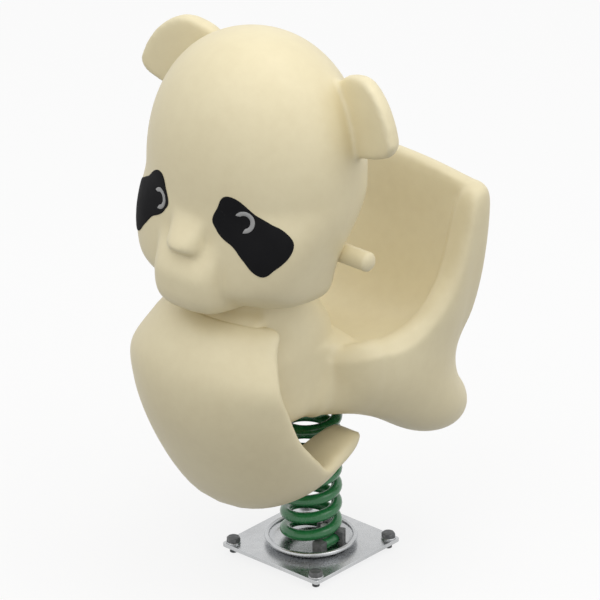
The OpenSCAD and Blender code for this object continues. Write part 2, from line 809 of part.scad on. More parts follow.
// Bolts through the torso's front into the shield, their heads clear of the sloping wall
function bolt_seat(h) = max([for (e = [-bolt_d, 0, bolt_d]) torso_front(h + e)]) + wall + 2 * gap;
function nut_seat(h) = min([for (e = [-bolt_d, 0, bolt_d]) shield_y(h + e)]) + shield_t / 2 - wall - gap;

module shield_bolts() {
    color(steel)
    for (h = shield_bolt_h)
        translate([0, bolt_seat(h), deck_z + h])
            rotate([90, 0, 0])
                bolt(bolt_d, bolt_seat(h) - nut_seat(h) + nut_h);
}

module shield_nuts() {
    color(steel)
    for (h = shield_bolt_h)
        translate([0, nut_seat(h), deck_z + h])
            rotate([90, 0, 0])
                nut(bolt_d, nut_h);
}

// Head

// Shares of the lower half and of the dome at height h above the head's floor
function low_share(h) = max(0, (jaw_h - h) / jaw_h);
function dome_share(h) = min(1, max(0, (h - jaw_h) / dome_h));
function dome_scale(h) = (1 - dome_share(h) ^ dome_power) ^ (1 / dome_power);
function head_half(h) = head_w / 2 * dome_scale(h) * (1 - 0.15 * ease(0.25, 1, low_share(h)));
function head_rear(h) = skull_d * dome_scale(h) * (1 - 0.62 * ease(0.18, 0.85, low_share(h)));
function head_front(h) = face_d * dome_scale(h);
function face_power(h) = 2 + face_square * ease(-0.2, 0.6, low_share(h) - 0.4 * dome_share(h));

// Reach of the snout out of the face at x, h: the larger of the muzzle's and the nose's
function plateau(d) = 1 - ease(1 - snout_soft, 1 + snout_soft, d);
function muzzle_out(x, h) =
    muzzle_reach * plateau((abs(x / muzzle_w * 2) ^ muzzle_square
                            + abs((h - muzzle_level) / muzzle_half_h) ^ muzzle_square) ^ (1 / muzzle_square));
function nose_out(x, h) =
    nose_reach * plateau(abs(x) / nose_w * 2) * ease(nose_low - 8, nose_low + 8, h)
    * min(1, max(0, (brow_h - h) / (brow_h - nose_top)));
function snout(x, h) = max(muzzle_out(x, h), nose_out(x, h));

// Point of the head in the direction of an angle, at height h
function head_point(angle, h, inset, scale = 1) =
    let (front = sin(angle) < 0,
         r = scale * oval_r(head_half(h) - inset, (front ? head_front(h) : head_rear(h)) - inset,
                            front ? face_power(h) : 2, angle),
         x = r * cos(angle),
         y = head_y + r * sin(angle),
         face = sin(angle) < -0.2 && scale == 1)
    [x, face ? y - snout(x, h) : y, head_z + h];

// Directions round the head, closer together at the face
function head_angle(s) = -90 + 360 * s - 0.55 * 180 / PI * sin(360 * s);
head_angles = [for (j = [0:head_sides - 1]) head_angle(j / head_sides - 0.5)];
function head_ring(h, inset, scale = 1) = [for (a = head_angles) head_point(a, h, inset, scale)];

head_edge = [90, 60, 30];
head_wall_steps = 13;
head_dome_steps = [10, 20, 30, 40, 50, 60, 70, 78, 85];

// Side of the head at y and height h, for pieces that sit on it
function head_side(y, h) =
    let (front = y < head_y,
         depth = front ? head_front(h) : head_rear(h),
         n = front ? face_power(h) : 2)
    head_half(h) * max(0.02, 1 - (abs(y - head_y) / depth) ^ n) ^ (1 / n);

module at_neck_bolts() {
    mirror_pair()
        for (p = neck_bolt_at)
            translate([p[0], p[1], 0])
                children();
}

module along_handle() {
    translate([0, handle_at[0], head_z + handle_at[1]])
        rotate([0, 90, 0])
            children();
}

module head_shell() {
    color(cream)
    difference() {
        hollow(
            concat([head_ring(0, jaw_r, floor_hole)],
                   [for (a = head_edge) head_ring(jaw_r * (1 - sin(a)), jaw_r * (1 - cos(a)))],
                   [for (i = [0:head_wall_steps])
                       head_ring(jaw_r + (jaw_h - jaw_r) * i / head_wall_steps, 0)],
                   [for (a = head_dome_steps) head_ring(jaw_h + dome_h * sin(a), 0)]),
            concat([head_ring(wall, jaw_r, floor_hole)],
                   [for (a = head_edge)
                       head_ring(wall + (jaw_r - wall) * (1 - sin(a)), wall + (jaw_r - wall) * (1 - cos(a)))],
                   [for (i = [0:head_wall_steps])
                       head_ring(jaw_r + (jaw_h - jaw_r) * i / head_wall_steps, wall)],
                   [for (a = head_dome_steps) head_ring(jaw_h + (dome_h - 2 * wall) * sin(a), wall)]),
            flip = true);
        translate([0, 0, head_z - 2])
            at_neck_bolts()
                cylinder(d = bolt_d + 2 * bolt_gap, h = wall + 4, $fn = round_fn);
        along_handle()
            cylinder(d = grip_d + 2 * gap, h = handle_l, center = true, $fn = round_fn);
    }
}

module neck_bolts() {
    color(steel)
    translate([0, 0, head_z - wall])
        at_neck_bolts()
            bolt(bolt_d, 2 * wall + nut_h);
}

module neck_nuts() {
    color(steel)
    translate([0, 0, head_z + wall])
        at_neck_bolts()
            nut(bolt_d, nut_h);
}

// Ears: hollow lobes, open against the side of the head. Their upper and lower edges run from the
// head out to the tip, as [place along the edge, share of the reach, share of the height]

ear_top = [[0, -0.75, 0.18], [0.2, -0.42, 0.33], [0.4, 0.1, 0.39], [0.6, 0.56, 0.23], [0.8, 0.85, -0.01],
           [1, 1, -0.24]];
ear_low = [[0, -0.16, -0.61], [0.2, 0.12, -0.57], [0.4, 0.42, -0.51], [0.6, 0.70, -0.44], [0.8, 0.91, -0.36],
           [1, 1, -0.24]];
ear_level = jaw_h + 0.59 * dome_h;
ear_y = -96;
ear_turn = 14;
ear_sides = 24;
ear_steps = [0, 0.15, 0.3, 0.45, 0.6, 0.74, 0.86, 0.94, 0.98];
ear_full = 0.55;

function key_column(keys, k) = [for (q = keys) [q[0], q[k]]];
function ear_edge(keys, s) =
    [head_w / 2 + ear_reach * curve(key_column(keys, 1), s), ear_level + ear_h * curve(key_column(keys, 2), s)];
function ear_half_t(s) = ear_t / 2 * sqrt(1 - (max(0, s - ear_full) / (1 - ear_full)) ^ 2);

// Ring of the ear at a place along its edges; the first ring lies on the head
function ear_ring(s, inset) =
    let (a = ear_edge(ear_top, s),
         b = ear_edge(ear_low, s),
         arm = (a - b) / 2 * (1 - min(0.8, inset / norm(a - b) * 2)),
         thick = max(1, ear_half_t(s) - inset))
    [for (j = [0:ear_sides - 1])
        let (turn = j * 360 / ear_sides,
             p = (a + b) / 2 + arm * spow(sin(turn), 0.85),
             y = ear_y + (head_w / 2 + ear_reach - p[0]) * tan(ear_turn) + thick * spow(cos(turn), 0.6),
             side = head_side(y, p[1]) + gap)
        [s == 0 ? side : max(p[0], side), y, head_z + p[1]]];

module ear() {
    hollow([for (s = ear_steps) ear_ring(s, 0)], [for (s = ear_steps) ear_ring(0.94 * s, wall)], flip = true);
}

module left_ear() {
    color(cream)
    ear();
}

module right_ear() {
    color(cream)
    mirror([1, 0, 0])
        ear();
}

// Eyes: thin patches that follow the face, each with a pale crescent

patch_t = 2;
glint_t = 1.2;
patch_sides = 30;
patch_at = [-50, 149];
glint_at = [-11, 18];
patch_gap = 1.2;

// Place on the face: direction round the head, height, and distance out of the surface
function face_spot(angle, h, out) =
    let (p = head_point(angle, h, 0),
         q = head_point(angle + 1, h, 0) - head_point(angle - 1, h, 0),
         n = [q[1], -q[0], 0] / norm([q[0], q[1]]))
    p + n * out;

// Patch coordinates in mm, u along the face and v up it
face_r = 165;
function patch_spot(u, v, out) = face_spot(patch_at[0] + u / face_r * 180 / PI, patch_at[1] + v, out);

// Outline of the patch as [direction, share of its length]: a square upper end, a round lower one
// and a hollow side between them
patch_keys = [[-180, 0.43], [-144, 0.27], [-105, 0.32], [-77, 0.49], [-58, 0.46], [-15, 0.46], [6, 0.36],
              [30, 0.25], [72, 0.22], [97, 0.29], [128, 0.51], [150, 0.485], [170, 0.49], [180, 0.43]];
function patch_r(b) = patch_l * curve(patch_keys, b);
function patch_ring(s, out) =
    [for (j = [0:patch_sides - 1])
        let (b = j * 360 / patch_sides - 180)
        patch_spot(s * patch_r(b) * cos(b), s * patch_r(b) * sin(b), out)];
patch_shares = [0.04, 0.25, 0.5, 0.75, 1];

module eye_patch() {
    skin(concat([for (s = patch_shares) patch_ring(s, patch_gap)],
                [for (s = reversed(patch_shares)) patch_ring(s, patch_gap + patch_t)]));
}

module left_eye_patch() {
    color(black)
    eye_patch();
}

module right_eye_patch() {
    color(black)
    mirror([1, 0, 0])
        eye_patch();
}

// Crescent: part of a ring, thick in the middle and thin at its ends
glint_from = -80;
glint_turn = 215;
glint_steps = 14;
function glint_ring(i) =
    let (b = glint_from + glint_turn * i / glint_steps,
         w = glint_d * (0.07 + 0.15 * sin(180 * i / glint_steps)),
         r = glint_d / 2)
    [for (k = [[r, 0], [r - w, 0], [r - w, glint_t], [r, glint_t]])
        patch_spot(glint_at[0] + k[0] * cos(b), glint_at[1] + k[0] * sin(b), patch_gap + patch_t + gap + k[1])];

module eye_glint() {
    skin([for (i = [0:glint_steps]) glint_ring(i)]);
}

module left_eye_glint() {
    color("#d8d8d4")
    eye_glint();
}

module right_eye_glint() {
    color("#d8d8d4")
    mirror([1, 0, 0])
        eye_glint();
}

// Handle: a steel tube across the head inside two closed grips

grip_in = 60;
grip_end = 6;
grip_fit = 0.15;

module handle_tube() {
    length = handle_l - 2 * grip_end - 2 * grip_fit;
    color(dark_steel)
    along_handle()
        difference() {
            cylinder(d = tube_d, h = length, center = true, $fn = round_fn);
            cylinder(d = tube_d - 5, h = length + 2, center = true, $fn = round_fn);
        }
}

module grip() {
    r = grip_d / 2;
    along_handle()
        difference() {
            rotate_extrude($fn = round_fn)
                union() {
                    translate([0, grip_in])
                        square([r, handle_l / 2 - r * 0.6 - grip_in]);
                    intersection() {
                        translate([0, handle_l / 2 - r * 0.6])
                            scale([1, 0.6])
                                circle(r = r, $fn = round_fn);
                        translate([0, grip_in])
                            square([r, handle_l]);
                    }
                }
            translate([0, 0, grip_in - 1])
                cylinder(d = tube_d + 2 * grip_fit, h = handle_l / 2 - grip_end - grip_in + 1, $fn = round_fn);
        }
}

module left_grip() {
    color(cream)
    grip();
}

module right_grip() {
    color(cream)
    mirror([1, 0, 0])
        grip();
}

base_plate();
anchor_bolts();
anchor_washers();
spring_dish();
lower_clamps();
lower_clamp_bolts();
lower_end_stop();
coil_spring();
carrier_plate();
upper_clamps();
upper_clamp_bolts();
upper_end_stop();
carrier_bolts();
carrier_nuts();
torso_shell();
seat_shell();
front_shield();
shield_bolts();
shield_nuts();
head_shell();
neck_bolts();
neck_nuts();
left_ear();
right_ear();
left_eye_patch();
right_eye_patch();
left_eye_glint();
right_eye_glint();
handle_tube();
left_grip();
right_grip();
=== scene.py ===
"""Spring rider with a panda body on a coil spring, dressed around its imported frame.

Sizes in the classes are in millimetres in the part's frame; the meshes are in metres.
"""

import logging
import math
from dataclasses import dataclass
from enum import Enum
from typing import Sequence

import bmesh
import bpy
import numpy as np
from mathutils import Matrix, Vector
from mathutils.bvhtree import BVHTree


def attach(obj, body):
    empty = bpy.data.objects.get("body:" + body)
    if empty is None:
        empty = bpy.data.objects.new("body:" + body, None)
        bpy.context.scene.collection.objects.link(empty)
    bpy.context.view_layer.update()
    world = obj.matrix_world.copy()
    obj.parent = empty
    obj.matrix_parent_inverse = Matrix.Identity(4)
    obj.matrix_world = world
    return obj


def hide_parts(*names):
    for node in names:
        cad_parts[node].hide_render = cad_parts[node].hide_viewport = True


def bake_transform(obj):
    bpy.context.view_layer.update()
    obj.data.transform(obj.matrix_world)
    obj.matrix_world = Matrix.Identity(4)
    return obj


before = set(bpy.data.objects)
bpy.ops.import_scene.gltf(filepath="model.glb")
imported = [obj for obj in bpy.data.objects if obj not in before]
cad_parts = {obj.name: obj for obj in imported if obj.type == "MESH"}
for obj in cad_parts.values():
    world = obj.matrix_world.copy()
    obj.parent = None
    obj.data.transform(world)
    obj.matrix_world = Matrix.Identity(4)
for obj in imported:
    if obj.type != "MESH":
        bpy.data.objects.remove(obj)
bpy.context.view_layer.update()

MM = 0.001
Array = np.ndarray
Keys = Sequence[Sequence[float]]
Pair = tuple[float, float]
Point = tuple[float, float, float]
Rgb = tuple[float, float, float]
Thing = bpy.types.Object
Socket = bpy.types.NodeSocket
WHITE = (1.0, 1.0, 1.0)
TINY = 1e-9  # keeps a division away from zero
ROUND = 2.0  # power of a plain ellipse
SLIVER = 0.01  # radius in millimetres that closes the end of a turned piece
log = logging.getLogger("spring_rider")


class Slot(Enum):
    """Material slots of the record."""

    CREAM = "cream_plastic"
    BLACK = "black_vinyl"
    PALE = "pale_vinyl"
    GREEN = "green_coat"
    GALVANISED = "galvanised_steel"
    DARK = "dark_steel"
    ZINC = "zinc_bolts"


class BodyName(Enum):
    """Bodies that the pieces ride on."""

    BASE = "base"
    SPRING = "spring"
    RIDER = "rider"


# curves and fields


def ease(a: float, b: float, x: Array) -> Array:
    """Smooth step from 0 at a to 1 at b."""
    s = np.clip((np.asarray(x, float) - a) / (b - a), 0.0, 1.0)
    return s * s * (3.0 - 2.0 * s)


def curve(keys: Keys, place: Array) -> Array:
    """Smooth curve through a few keys.

    Args:
        keys: Pairs of place and value, in rising order of place.
        place: Places to read.

    Returns:
        The values at those places.
    """
    xs, ys = np.asarray(keys, float).T
    index = np.arange(len(xs))
    lower, upper = np.maximum(index - 1, 0), np.minimum(index + 1, len(xs) - 1)
    slope = (ys[upper] - ys[lower]) / (xs[upper] - xs[lower])
    t = np.clip(np.asarray(place, float), xs[0], xs[-1])
    i = np.clip(np.searchsorted(xs, t, side="right") - 1, 0, len(xs) - 2)
    h = xs[i + 1] - xs[i]
    s = (t - xs[i]) / h
    start = (2 * s**3 - 3 * s**2 + 1) * ys[i] + (s**3 - 2 * s**2 + s) * h * slope[i]
    finish = (3 * s**2 - 2 * s**3) * ys[i + 1] + (s**3 - s**2) * h * slope[i + 1]
    return start + finish


def spow(v: Array, e: float) -> Array:
    """Signed power, for superellipses."""
    return np.sign(v) * np.abs(v) ** e


def oval(x: Array, y: Array, n: Array) -> Array:
    """Superellipse norm of a point given in half sizes: 1 on the outline."""
    return (np.abs(x) ** n + np.abs(y) ** n) ** (1.0 / n)


def join(a: Array, b: Array, k: float) -> Array:
    """Union of two fields, filleted over k millimetres."""
    h = np.maximum(k - np.abs(a - b), 0.0) / k
    return np.minimum(a, b) - h * h * k / 4.0


def trim(a: Array, b: Array, k: float) -> Array:
    """Common part of two fields, rounded over k millimetres."""
    return -join(-a, -b, k)


def hump(x: Array, half: float, powers: Pair) -> Array:
    """Rounded hump: 1 in the middle, 0 from its half width on."""
    return np.clip(1 - np.abs(x / half) ** powers[0], 0.0, 1.0) ** powers[1]


def arch(share: float) -> float:
    """Height of a quarter circle: 1 at share 0, 0 from share 1 on."""
    return math.sqrt(max(0.0, 1 - share**2))


def circle(sides: int) -> Array:
    """Even directions round a circle, in radians."""
    return np.arange(sides) / sides * 2 * np.pi


def plane(a: Array, b: Array) -> Array:
    """All pairs of a value of a and a value of b, one row each."""
    return np.stack(np.meshgrid(a, b, indexing="ij"), -1).reshape(-1, 2)


def closed_spline(points: Array, parts: int) -> Array:
    """Rounds off a closed outline.

    Args:
        points: Corner points, one row each.
        parts: Pieces that each side is cut into.

    Returns:
        The denser outline through the same points.
    """
    before, after, far = (np.roll(points, k, 0) for k in (1, -1, -2))
    bend = 2 * before - 5 * points + 4 * after - far
    twist = 3 * points - before - 3 * after + far
    shares = np.arange(parts) / parts
    rows = [0.5 * (2 * points + (after - before) * t + bend * t**2 + twist * t**3) for t in shares]
    return np.stack(rows, 1).reshape(-1, points.shape[1])


def outline_distance(points: Array, outline: Array) -> Array:
    """Signed distance of points to a closed outline, negative inside.

    Args:
        points: Points, one row each.
        outline: Corner points of the outline.

    Returns:
        One distance for each point.
    """
    a, d = outline, np.roll(outline, -1, 0) - outline
    px, py = points[:, :1], points[:, 1:]
    along = (px - a[:, 0]) * d[:, 0] + (py - a[:, 1]) * d[:, 1]
    t = np.clip(along / np.maximum((d * d).sum(1), TINY), 0.0, 1.0)
    gap2 = (px - a[:, 0] - t * d[:, 0]) ** 2 + (py - a[:, 1] - t * d[:, 1]) ** 2
    crosses = (a[:, 1] > py) != (np.roll(a[:, 1], -1) > py)
    rise = np.where(np.abs(d[:, 1]) < TINY, TINY, d[:, 1])
    right = px < a[:, 0] + (py - a[:, 1]) * d[:, 0] / rise
    inside = (crosses & right).sum(1) % 2 == 1
    return np.sqrt(gap2.min(1)) * np.where(inside, -1.0, 1.0)


# meshes


def add_object(name: str, data: bpy.types.ID) -> Thing:
    """Makes an object of some data and links it to the scene."""
    thing = bpy.data.objects.new(name, data)
    bpy.context.scene.collection.objects.link(thing)
    return thing


def add_mesh(name: str, points: Array, faces: Sequence[Sequence[int]]) -> Thing:
    """Makes a smooth-shaded mesh object.

    Args:
        name: Name of the piece.
        points: Vertices in millimetres, one row each.
        faces: Corner indices of each face.

    Returns:
        The new object, linked to the scene.
    """
    data = bpy.data.meshes.new(name)
    data.from_pydata([tuple(p) for p in np.asarray(points, float) * MM], [], faces)
    data.update()
    data.shade_smooth()
    return add_object(name, data)


def settle_normals(thing: Thing) -> None:
    """Turns all faces of a closed mesh outwards."""
    kit = bmesh.new()
    kit.from_mesh(thing.data)
    bmesh.ops.recalc_face_normals(kit, faces=kit.faces)
    kit.to_mesh(thing.data)
    kit.free()


def skin(name: str, rings: Array, closed: bool = False) -> Thing:
    """Closed surface through a chain of rings.

    Args:
        name: Name of the piece.
        rings: Points by ring and by place round the ring.
        closed: Whether the last ring joins the first.

    Returns:
        The new object.
    """
    m, n = rings.shape[:2]
    points = rings.reshape(-1, 3)
    faces = []
    for i in range(m if closed else m - 1):
        a, c = i * n, (i + 1) % m * n
        faces += [(a + j, a + (j + 1) % n, c + (j + 1) % n, c + j) for j in range(n)]
    if not closed:
        faces += [tuple(range(n)), tuple(range((m - 1) * n, m * n))]
    thing = add_mesh(name, points, faces)
    settle_normals(thing)
    return thing


def lathe(name: str, profile: Array, sides: int, closed: bool) -> Thing:
    """Turned piece about the Z axis.

    Args:
        name: Name of the piece.
        profile: Radius and height of each point of the section.
        sides: Points round the axis.
        closed: Whether the section is a closed outline.

    Returns:
        The new object.
    """
    turn = circle(sides)
    rings = [np.stack([r * np.cos(turn), r * np.sin(turn), np.full(sides, z)], 1) for r, z in profile]
    return skin(name, np.array(rings), closed)


def set_sharp(thing: Thing, degrees: float) -> None:
    """Keeps edges sharper than an angle crisp in the smooth shading."""
    thing.data.set_sharp_from_angle(angle=math.radians(degrees))


@dataclass(frozen=True)
class Casting:
    """Grid on which a field becomes the skin of a moulding.

    Attributes:
        low: Lowest corner, mm.
        high: Highest corner, mm.
        step: Grid step, mm.
        smoothing: Passes of smoothing on the finished skin.
        softness: Strength of each pass.
    """

    low: Point
    high: Point
    step: float = 4.0
    smoothing: int = 4
    softness: float = 0.5

    def axes(self) -> list[Array]:
        """Places of the grid's planes along each axis."""
        return [np.arange(a, b + self.step, self.step) for a, b in zip(self.low, self.high)]

    def grid(self) -> tuple[Array, Array, Array]:
        """Coordinates of all grid points."""
        return np.meshgrid(*self.axes(), indexing="ij")

    def pour(self, name: str, field: Array) -> Thing:
        """Makes the skin where the field changes sign.

        Args:
            name: Name of the piece.
            field: Value at each grid point, negative inside.

        Returns:
            The new object.
        """
        size = np.array(field.shape)
        inside = field < 0
        corners = np.array([(i, j, k) for i in (0, 1) for j in (0, 1) for k in (0, 1)])
        count = np.zeros(size - 1, int)
        for i, j, k in corners:
            count += inside[i : size[0] - 1 + i, j : size[1] - 1 + j, k : size[2] - 1 + k]
        cells = np.argwhere((count > 0) & (count < len(corners)))
        number = np.full(size - 1, -1)
        number[tuple(cells.T)] = np.arange(len(cells))
        total, hits = np.zeros((len(cells), 3)), np.zeros(len(cells))
        for a in corners:
            for axis in range(3):
                if a[axis]:
                    continue
                b = a + np.eye(3, dtype=int)[axis]
                fa, fb = field[tuple((cells + a).T)], field[tuple((cells + b).T)]
                cut = (fa < 0) != (fb < 0)
                t = np.where(cut, fa / np.where(cut, fa - fb, 1.0), 0.0)
                total += np.where(cut[:, None], a + t[:, None] * (b - a), 0.0)
                hits += cut
        points = np.array(self.low) + self.step * (cells + total / hits[:, None])
        faces = []
        for axis in range(3):
            u, v = (axis + 1) % 3, (axis + 2) % 3
            near, far = [slice(None)] * 3, [slice(None)] * 3
            near[axis], far[axis] = slice(0, -1), slice(1, None)
            for side in (True, False):
                edges = np.argwhere((inside[tuple(near)] == side) & (inside[tuple(far)] != side))
                edges = edges[(edges[:, u] > 0) & (edges[:, v] > 0)]
                edges = edges[(edges[:, u] < size[u] - 1) & (edges[:, v] < size[v] - 1)]
                quad = []
                for du, dv in ((1, 1), (0, 1), (0, 0), (1, 0)):
                    place = edges.copy()
                    place[:, u] -= du
                    place[:, v] -= dv
                    quad.append(number[tuple(place.T)])
                quad = np.stack(quad if side else quad[::-1], 1)
                faces += quad[(quad >= 0).all(1)].tolist()
        thing = add_mesh(name, points, faces)
        kit = bmesh.new()
        kit.from_mesh(thing.data)
        for _ in range(self.smoothing):
            bmesh.ops.smooth_vert(
                kit, verts=kit.verts, factor=self.softness, use_axis_x=True, use_axis_y=True, use_axis_z=True
            )
        kit.to_mesh(thing.data)
        kit.free()
        thing.data.shade_smooth()
        return thing


# shader groups and finishes


class Wiring:
    """Short way to place and link nodes in one node tree."""

    def __init__(self, tree: bpy.types.NodeTree) -> None:
        """Keeps the tree that the nodes go into."""
        self.tree = tree

    def add(self, kind: str, values: dict | None = None, **settings: object) -> bpy.types.Node:
        """Places a node.

        Args:
            kind: Blender's name of the node type.
            values: Input values or sockets to link, by input name or number.
            settings: Properties of the node.

        Returns:
            The new node.
        """
        node = self.tree.nodes.new(kind)
        for name, value in settings.items():
            setattr(node, name, value)
        for name, value in (values or {}).items():
            if isinstance(value, Socket):
                self.tree.links.new(value, node.inputs[name])
            else:
                node.inputs[name].default_value = value
        return node

    def math(self, operation: str, a: object, b: object = 0.0) -> Socket:
        """Result of a sum on two values or sockets, held between 0 and 1."""
        return self.add("ShaderNodeMath", {0: a, 1: b}, operation=operation, use_clamp=True).outputs[0]

    def sum(self, a: object, b: object, shares: Pair) -> Socket:
        """Sum of two values, each taken by its share."""
        return self.math("ADD", self.math("MULTIPLY", a, shares[0]), self.math("MULTIPLY", b, shares[1]))

    def spread(self, value: object, span: tuple, to: Pair = (0.0, 1.0)) -> Socket:
        """Value mapped from one span to another, held inside it."""
        given = {"Value": value, "From Min": span[0], "From Max": span[1], "To Min": to[0], "To Max": to[1]}
        return self.add("ShaderNodeMapRange", given).outputs["Result"]

    def mix(self, share: object, a: object, b: object) -> Socket:
        """Colour between a and b."""
        return self.add("ShaderNodeMix", {0: share, 6: a, 7: b}, data_type="RGBA").outputs[2]

    def place(self) -> Socket:
        """Point of the surface in the piece's own frame."""
        return self.add("ShaderNodeTexCoord").outputs["Object"]

    def noise(self, place: object, scale: object, detail: float = 3.0, rough: float = 0.55) -> Socket:
        """Value of a noise texture over the surface."""
        given = {"Vector": place, "Scale": scale, "Detail": detail, "Roughness": rough}
        return self.add("ShaderNodeTexNoise", given).outputs["Fac"]


def rewire(owner: bpy.types.ID) -> Wiring:
    """Gives a material or world an empty node tree.

    Args:
        owner: The material or world.

    Returns:
        The wiring of its tree.
    """
    owner.use_nodes = True
    owner.node_tree.nodes.clear()
    return Wiring(owner.node_tree)


def rgba(colour: Rgb) -> tuple[float, float, float, float]:
    """Colour with full alpha."""
    return (*colour, 1.0)


def grey(tone: float) -> tuple[float, float, float, float]:
    """Grey with full alpha."""
    return rgba((tone,) * 3)


def new_group(name: str, inputs: dict[str, float], outputs: Sequence[str]) -> tuple[Wiring, bpy.types.Node]:
    """Makes an empty shader node group.

    Args:
        name: Name of the group.
        inputs: Value inputs with their defaults.
        outputs: Names of the value outputs.

    Returns:
        The wiring and the group's input node.
    """
    tree = bpy.data.node_groups.new(name, "ShaderNodeTree")
    for label, value in inputs.items():
        socket = tree.interface.new_socket(label, in_out="INPUT", socket_type="NodeSocketFloat")
        socket.default_value = value
    for label in outputs:
        tree.interface.new_socket(label, in_out="OUTPUT", socket_type="NodeSocketFloat")
    wiring = Wiring(tree)
    return wiring, wiring.add("NodeGroupInput")


class Effects:
    """Shader groups that the finishes share.

    Attributes ending in mix are shares of two noises. Those ending in span are the
    values between which a mask rises from 0 to 1. Scales are per metre.
    """

    tone_mix: Pair = (0.6, 0.4)
    gloss_mix: Pair = (0.55, 0.45)
    height_mix: Pair = (0.6, 0.4)
    scratch_turns: Sequence[Point] = ((0.3, 0.2, 0.9), (1.1, 0.7, 2.2))
    scratch_stretch: Point = (1.0, 14.0, 5.0)
    scratch_span: Pair = (0.66, 0.74)
    patch_scale: float = 9.0
    patch_span: Pair = (0.48, 0.66)
    rub_span: Pair = (0.52, 0.60)
    break_scale: float = 120.0
    break_span: Pair = (0.35, 0.65)
    break_range: Pair = (0.2, 1.0)
    hollow_span: Pair = (0.49, 0.43)
    low_share: float = 0.5
    cloud_scale: float = 24.0
    cloud_span: Pair = (0.42, 0.72)

    def __init__(self) -> None:
        """Builds each group once."""
        self.grain = self._grain()
        self.scuff = self._scuff()
        self.dust = self._dust()

    def _grain(self) -> bpy.types.NodeTree:
        """Uneven tone, gloss and height of a coated or moulded surface.

        Returns:
            The group, with scales per metre as inputs.
        """
        w, given = new_group(
            "surface_grain", {"Broad": 7.0, "Middle": 55.0, "Fine": 700.0}, ("Tone", "Gloss", "Height")
        )
        place = w.place()
        broad = w.noise(place, given.outputs["Broad"], detail=2.0)
        middle = w.noise(place, given.outputs["Middle"], detail=4.0)
        fine = w.noise(place, given.outputs["Fine"], detail=2.0, rough=0.5)
        made = {
            "Tone": w.sum(broad, middle, self.tone_mix),
            "Gloss": w.sum(middle, fine, self.gloss_mix),
            "Height": w.sum(fine, middle, self.height_mix),
        }
        w.add("NodeGroupOutput", made)
        return w.tree

    def _scuff(self) -> bpy.types.NodeTree:
        """Fine scratches and rubbed edges.

        Returns:
            The group, whose masks are 1 where the surface is worn.
        """
        w, given = new_group("rub_marks", {"Scale": 60.0, "Edge": 0.5}, ("Scratch", "Rub"))
        place = w.place()
        marks = []
        for turn in self.scratch_turns:
            laid = {"Vector": place, "Rotation": turn, "Scale": self.scratch_stretch}
            grid = w.add("ShaderNodeMapping", laid).outputs[0]
            marks.append(w.spread(w.noise(grid, given.outputs["Scale"], detail=2.0, rough=0.6), self.scratch_span))
        patchy = w.spread(w.noise(place, self.patch_scale, detail=2.0), self.patch_span)
        scratch = w.math("MULTIPLY", w.math("MAXIMUM", *marks), patchy)
        rub = w.spread(w.add("ShaderNodeNewGeometry").outputs["Pointiness"], self.rub_span)
        broken = w.spread(w.noise(place, self.break_scale, detail=4.0), self.break_span, self.break_range)
        rub = w.math("MULTIPLY", w.math("MULTIPLY", rub, broken), given.outputs["Edge"])
        w.add("NodeGroupOutput", {"Scratch": scratch, "Rub": rub})
        return w.tree

    def _dust(self) -> bpy.types.NodeTree:
        """Dirt that gathers in hollows and low down.

        Returns:
            The group, whose mask is 1 where dirt lies.
        """
        w, given = new_group("settled_dirt", {"Amount": 0.5, "Top": 0.35}, ("Mask",))
        place = w.place()
        hollow = w.spread(w.add("ShaderNodeNewGeometry").outputs["Pointiness"], self.hollow_span)
        height = w.add("ShaderNodeSeparateXYZ", {0: place}).outputs["Z"]
        low = w.spread(height, (given.outputs["Top"], 0.0))
        cloud = w.spread(w.noise(place, self.cloud_scale, detail=5.0, rough=0.65), self.cloud_span)
        both = w.math("MAXIMUM", hollow, w.math("MULTIPLY", low, self.low_share))
        mask = w.math("MULTIPLY", w.math("MULTIPLY", both, cloud), given.outputs["Amount"])
        w.add("NodeGroupOutput", {"Mask": mask})
        return w.tree


# how the groups act on every finish
TONE_SPAN = (0.35, 0.65)
GLOSS_SPAN = (0.3, 0.7)
WORN_ROUGHER = 0.18
SCRATCH_DEPTH = 0.25
BUMP_STRENGTH = 0.6
COAT_ROUGH = 0.12


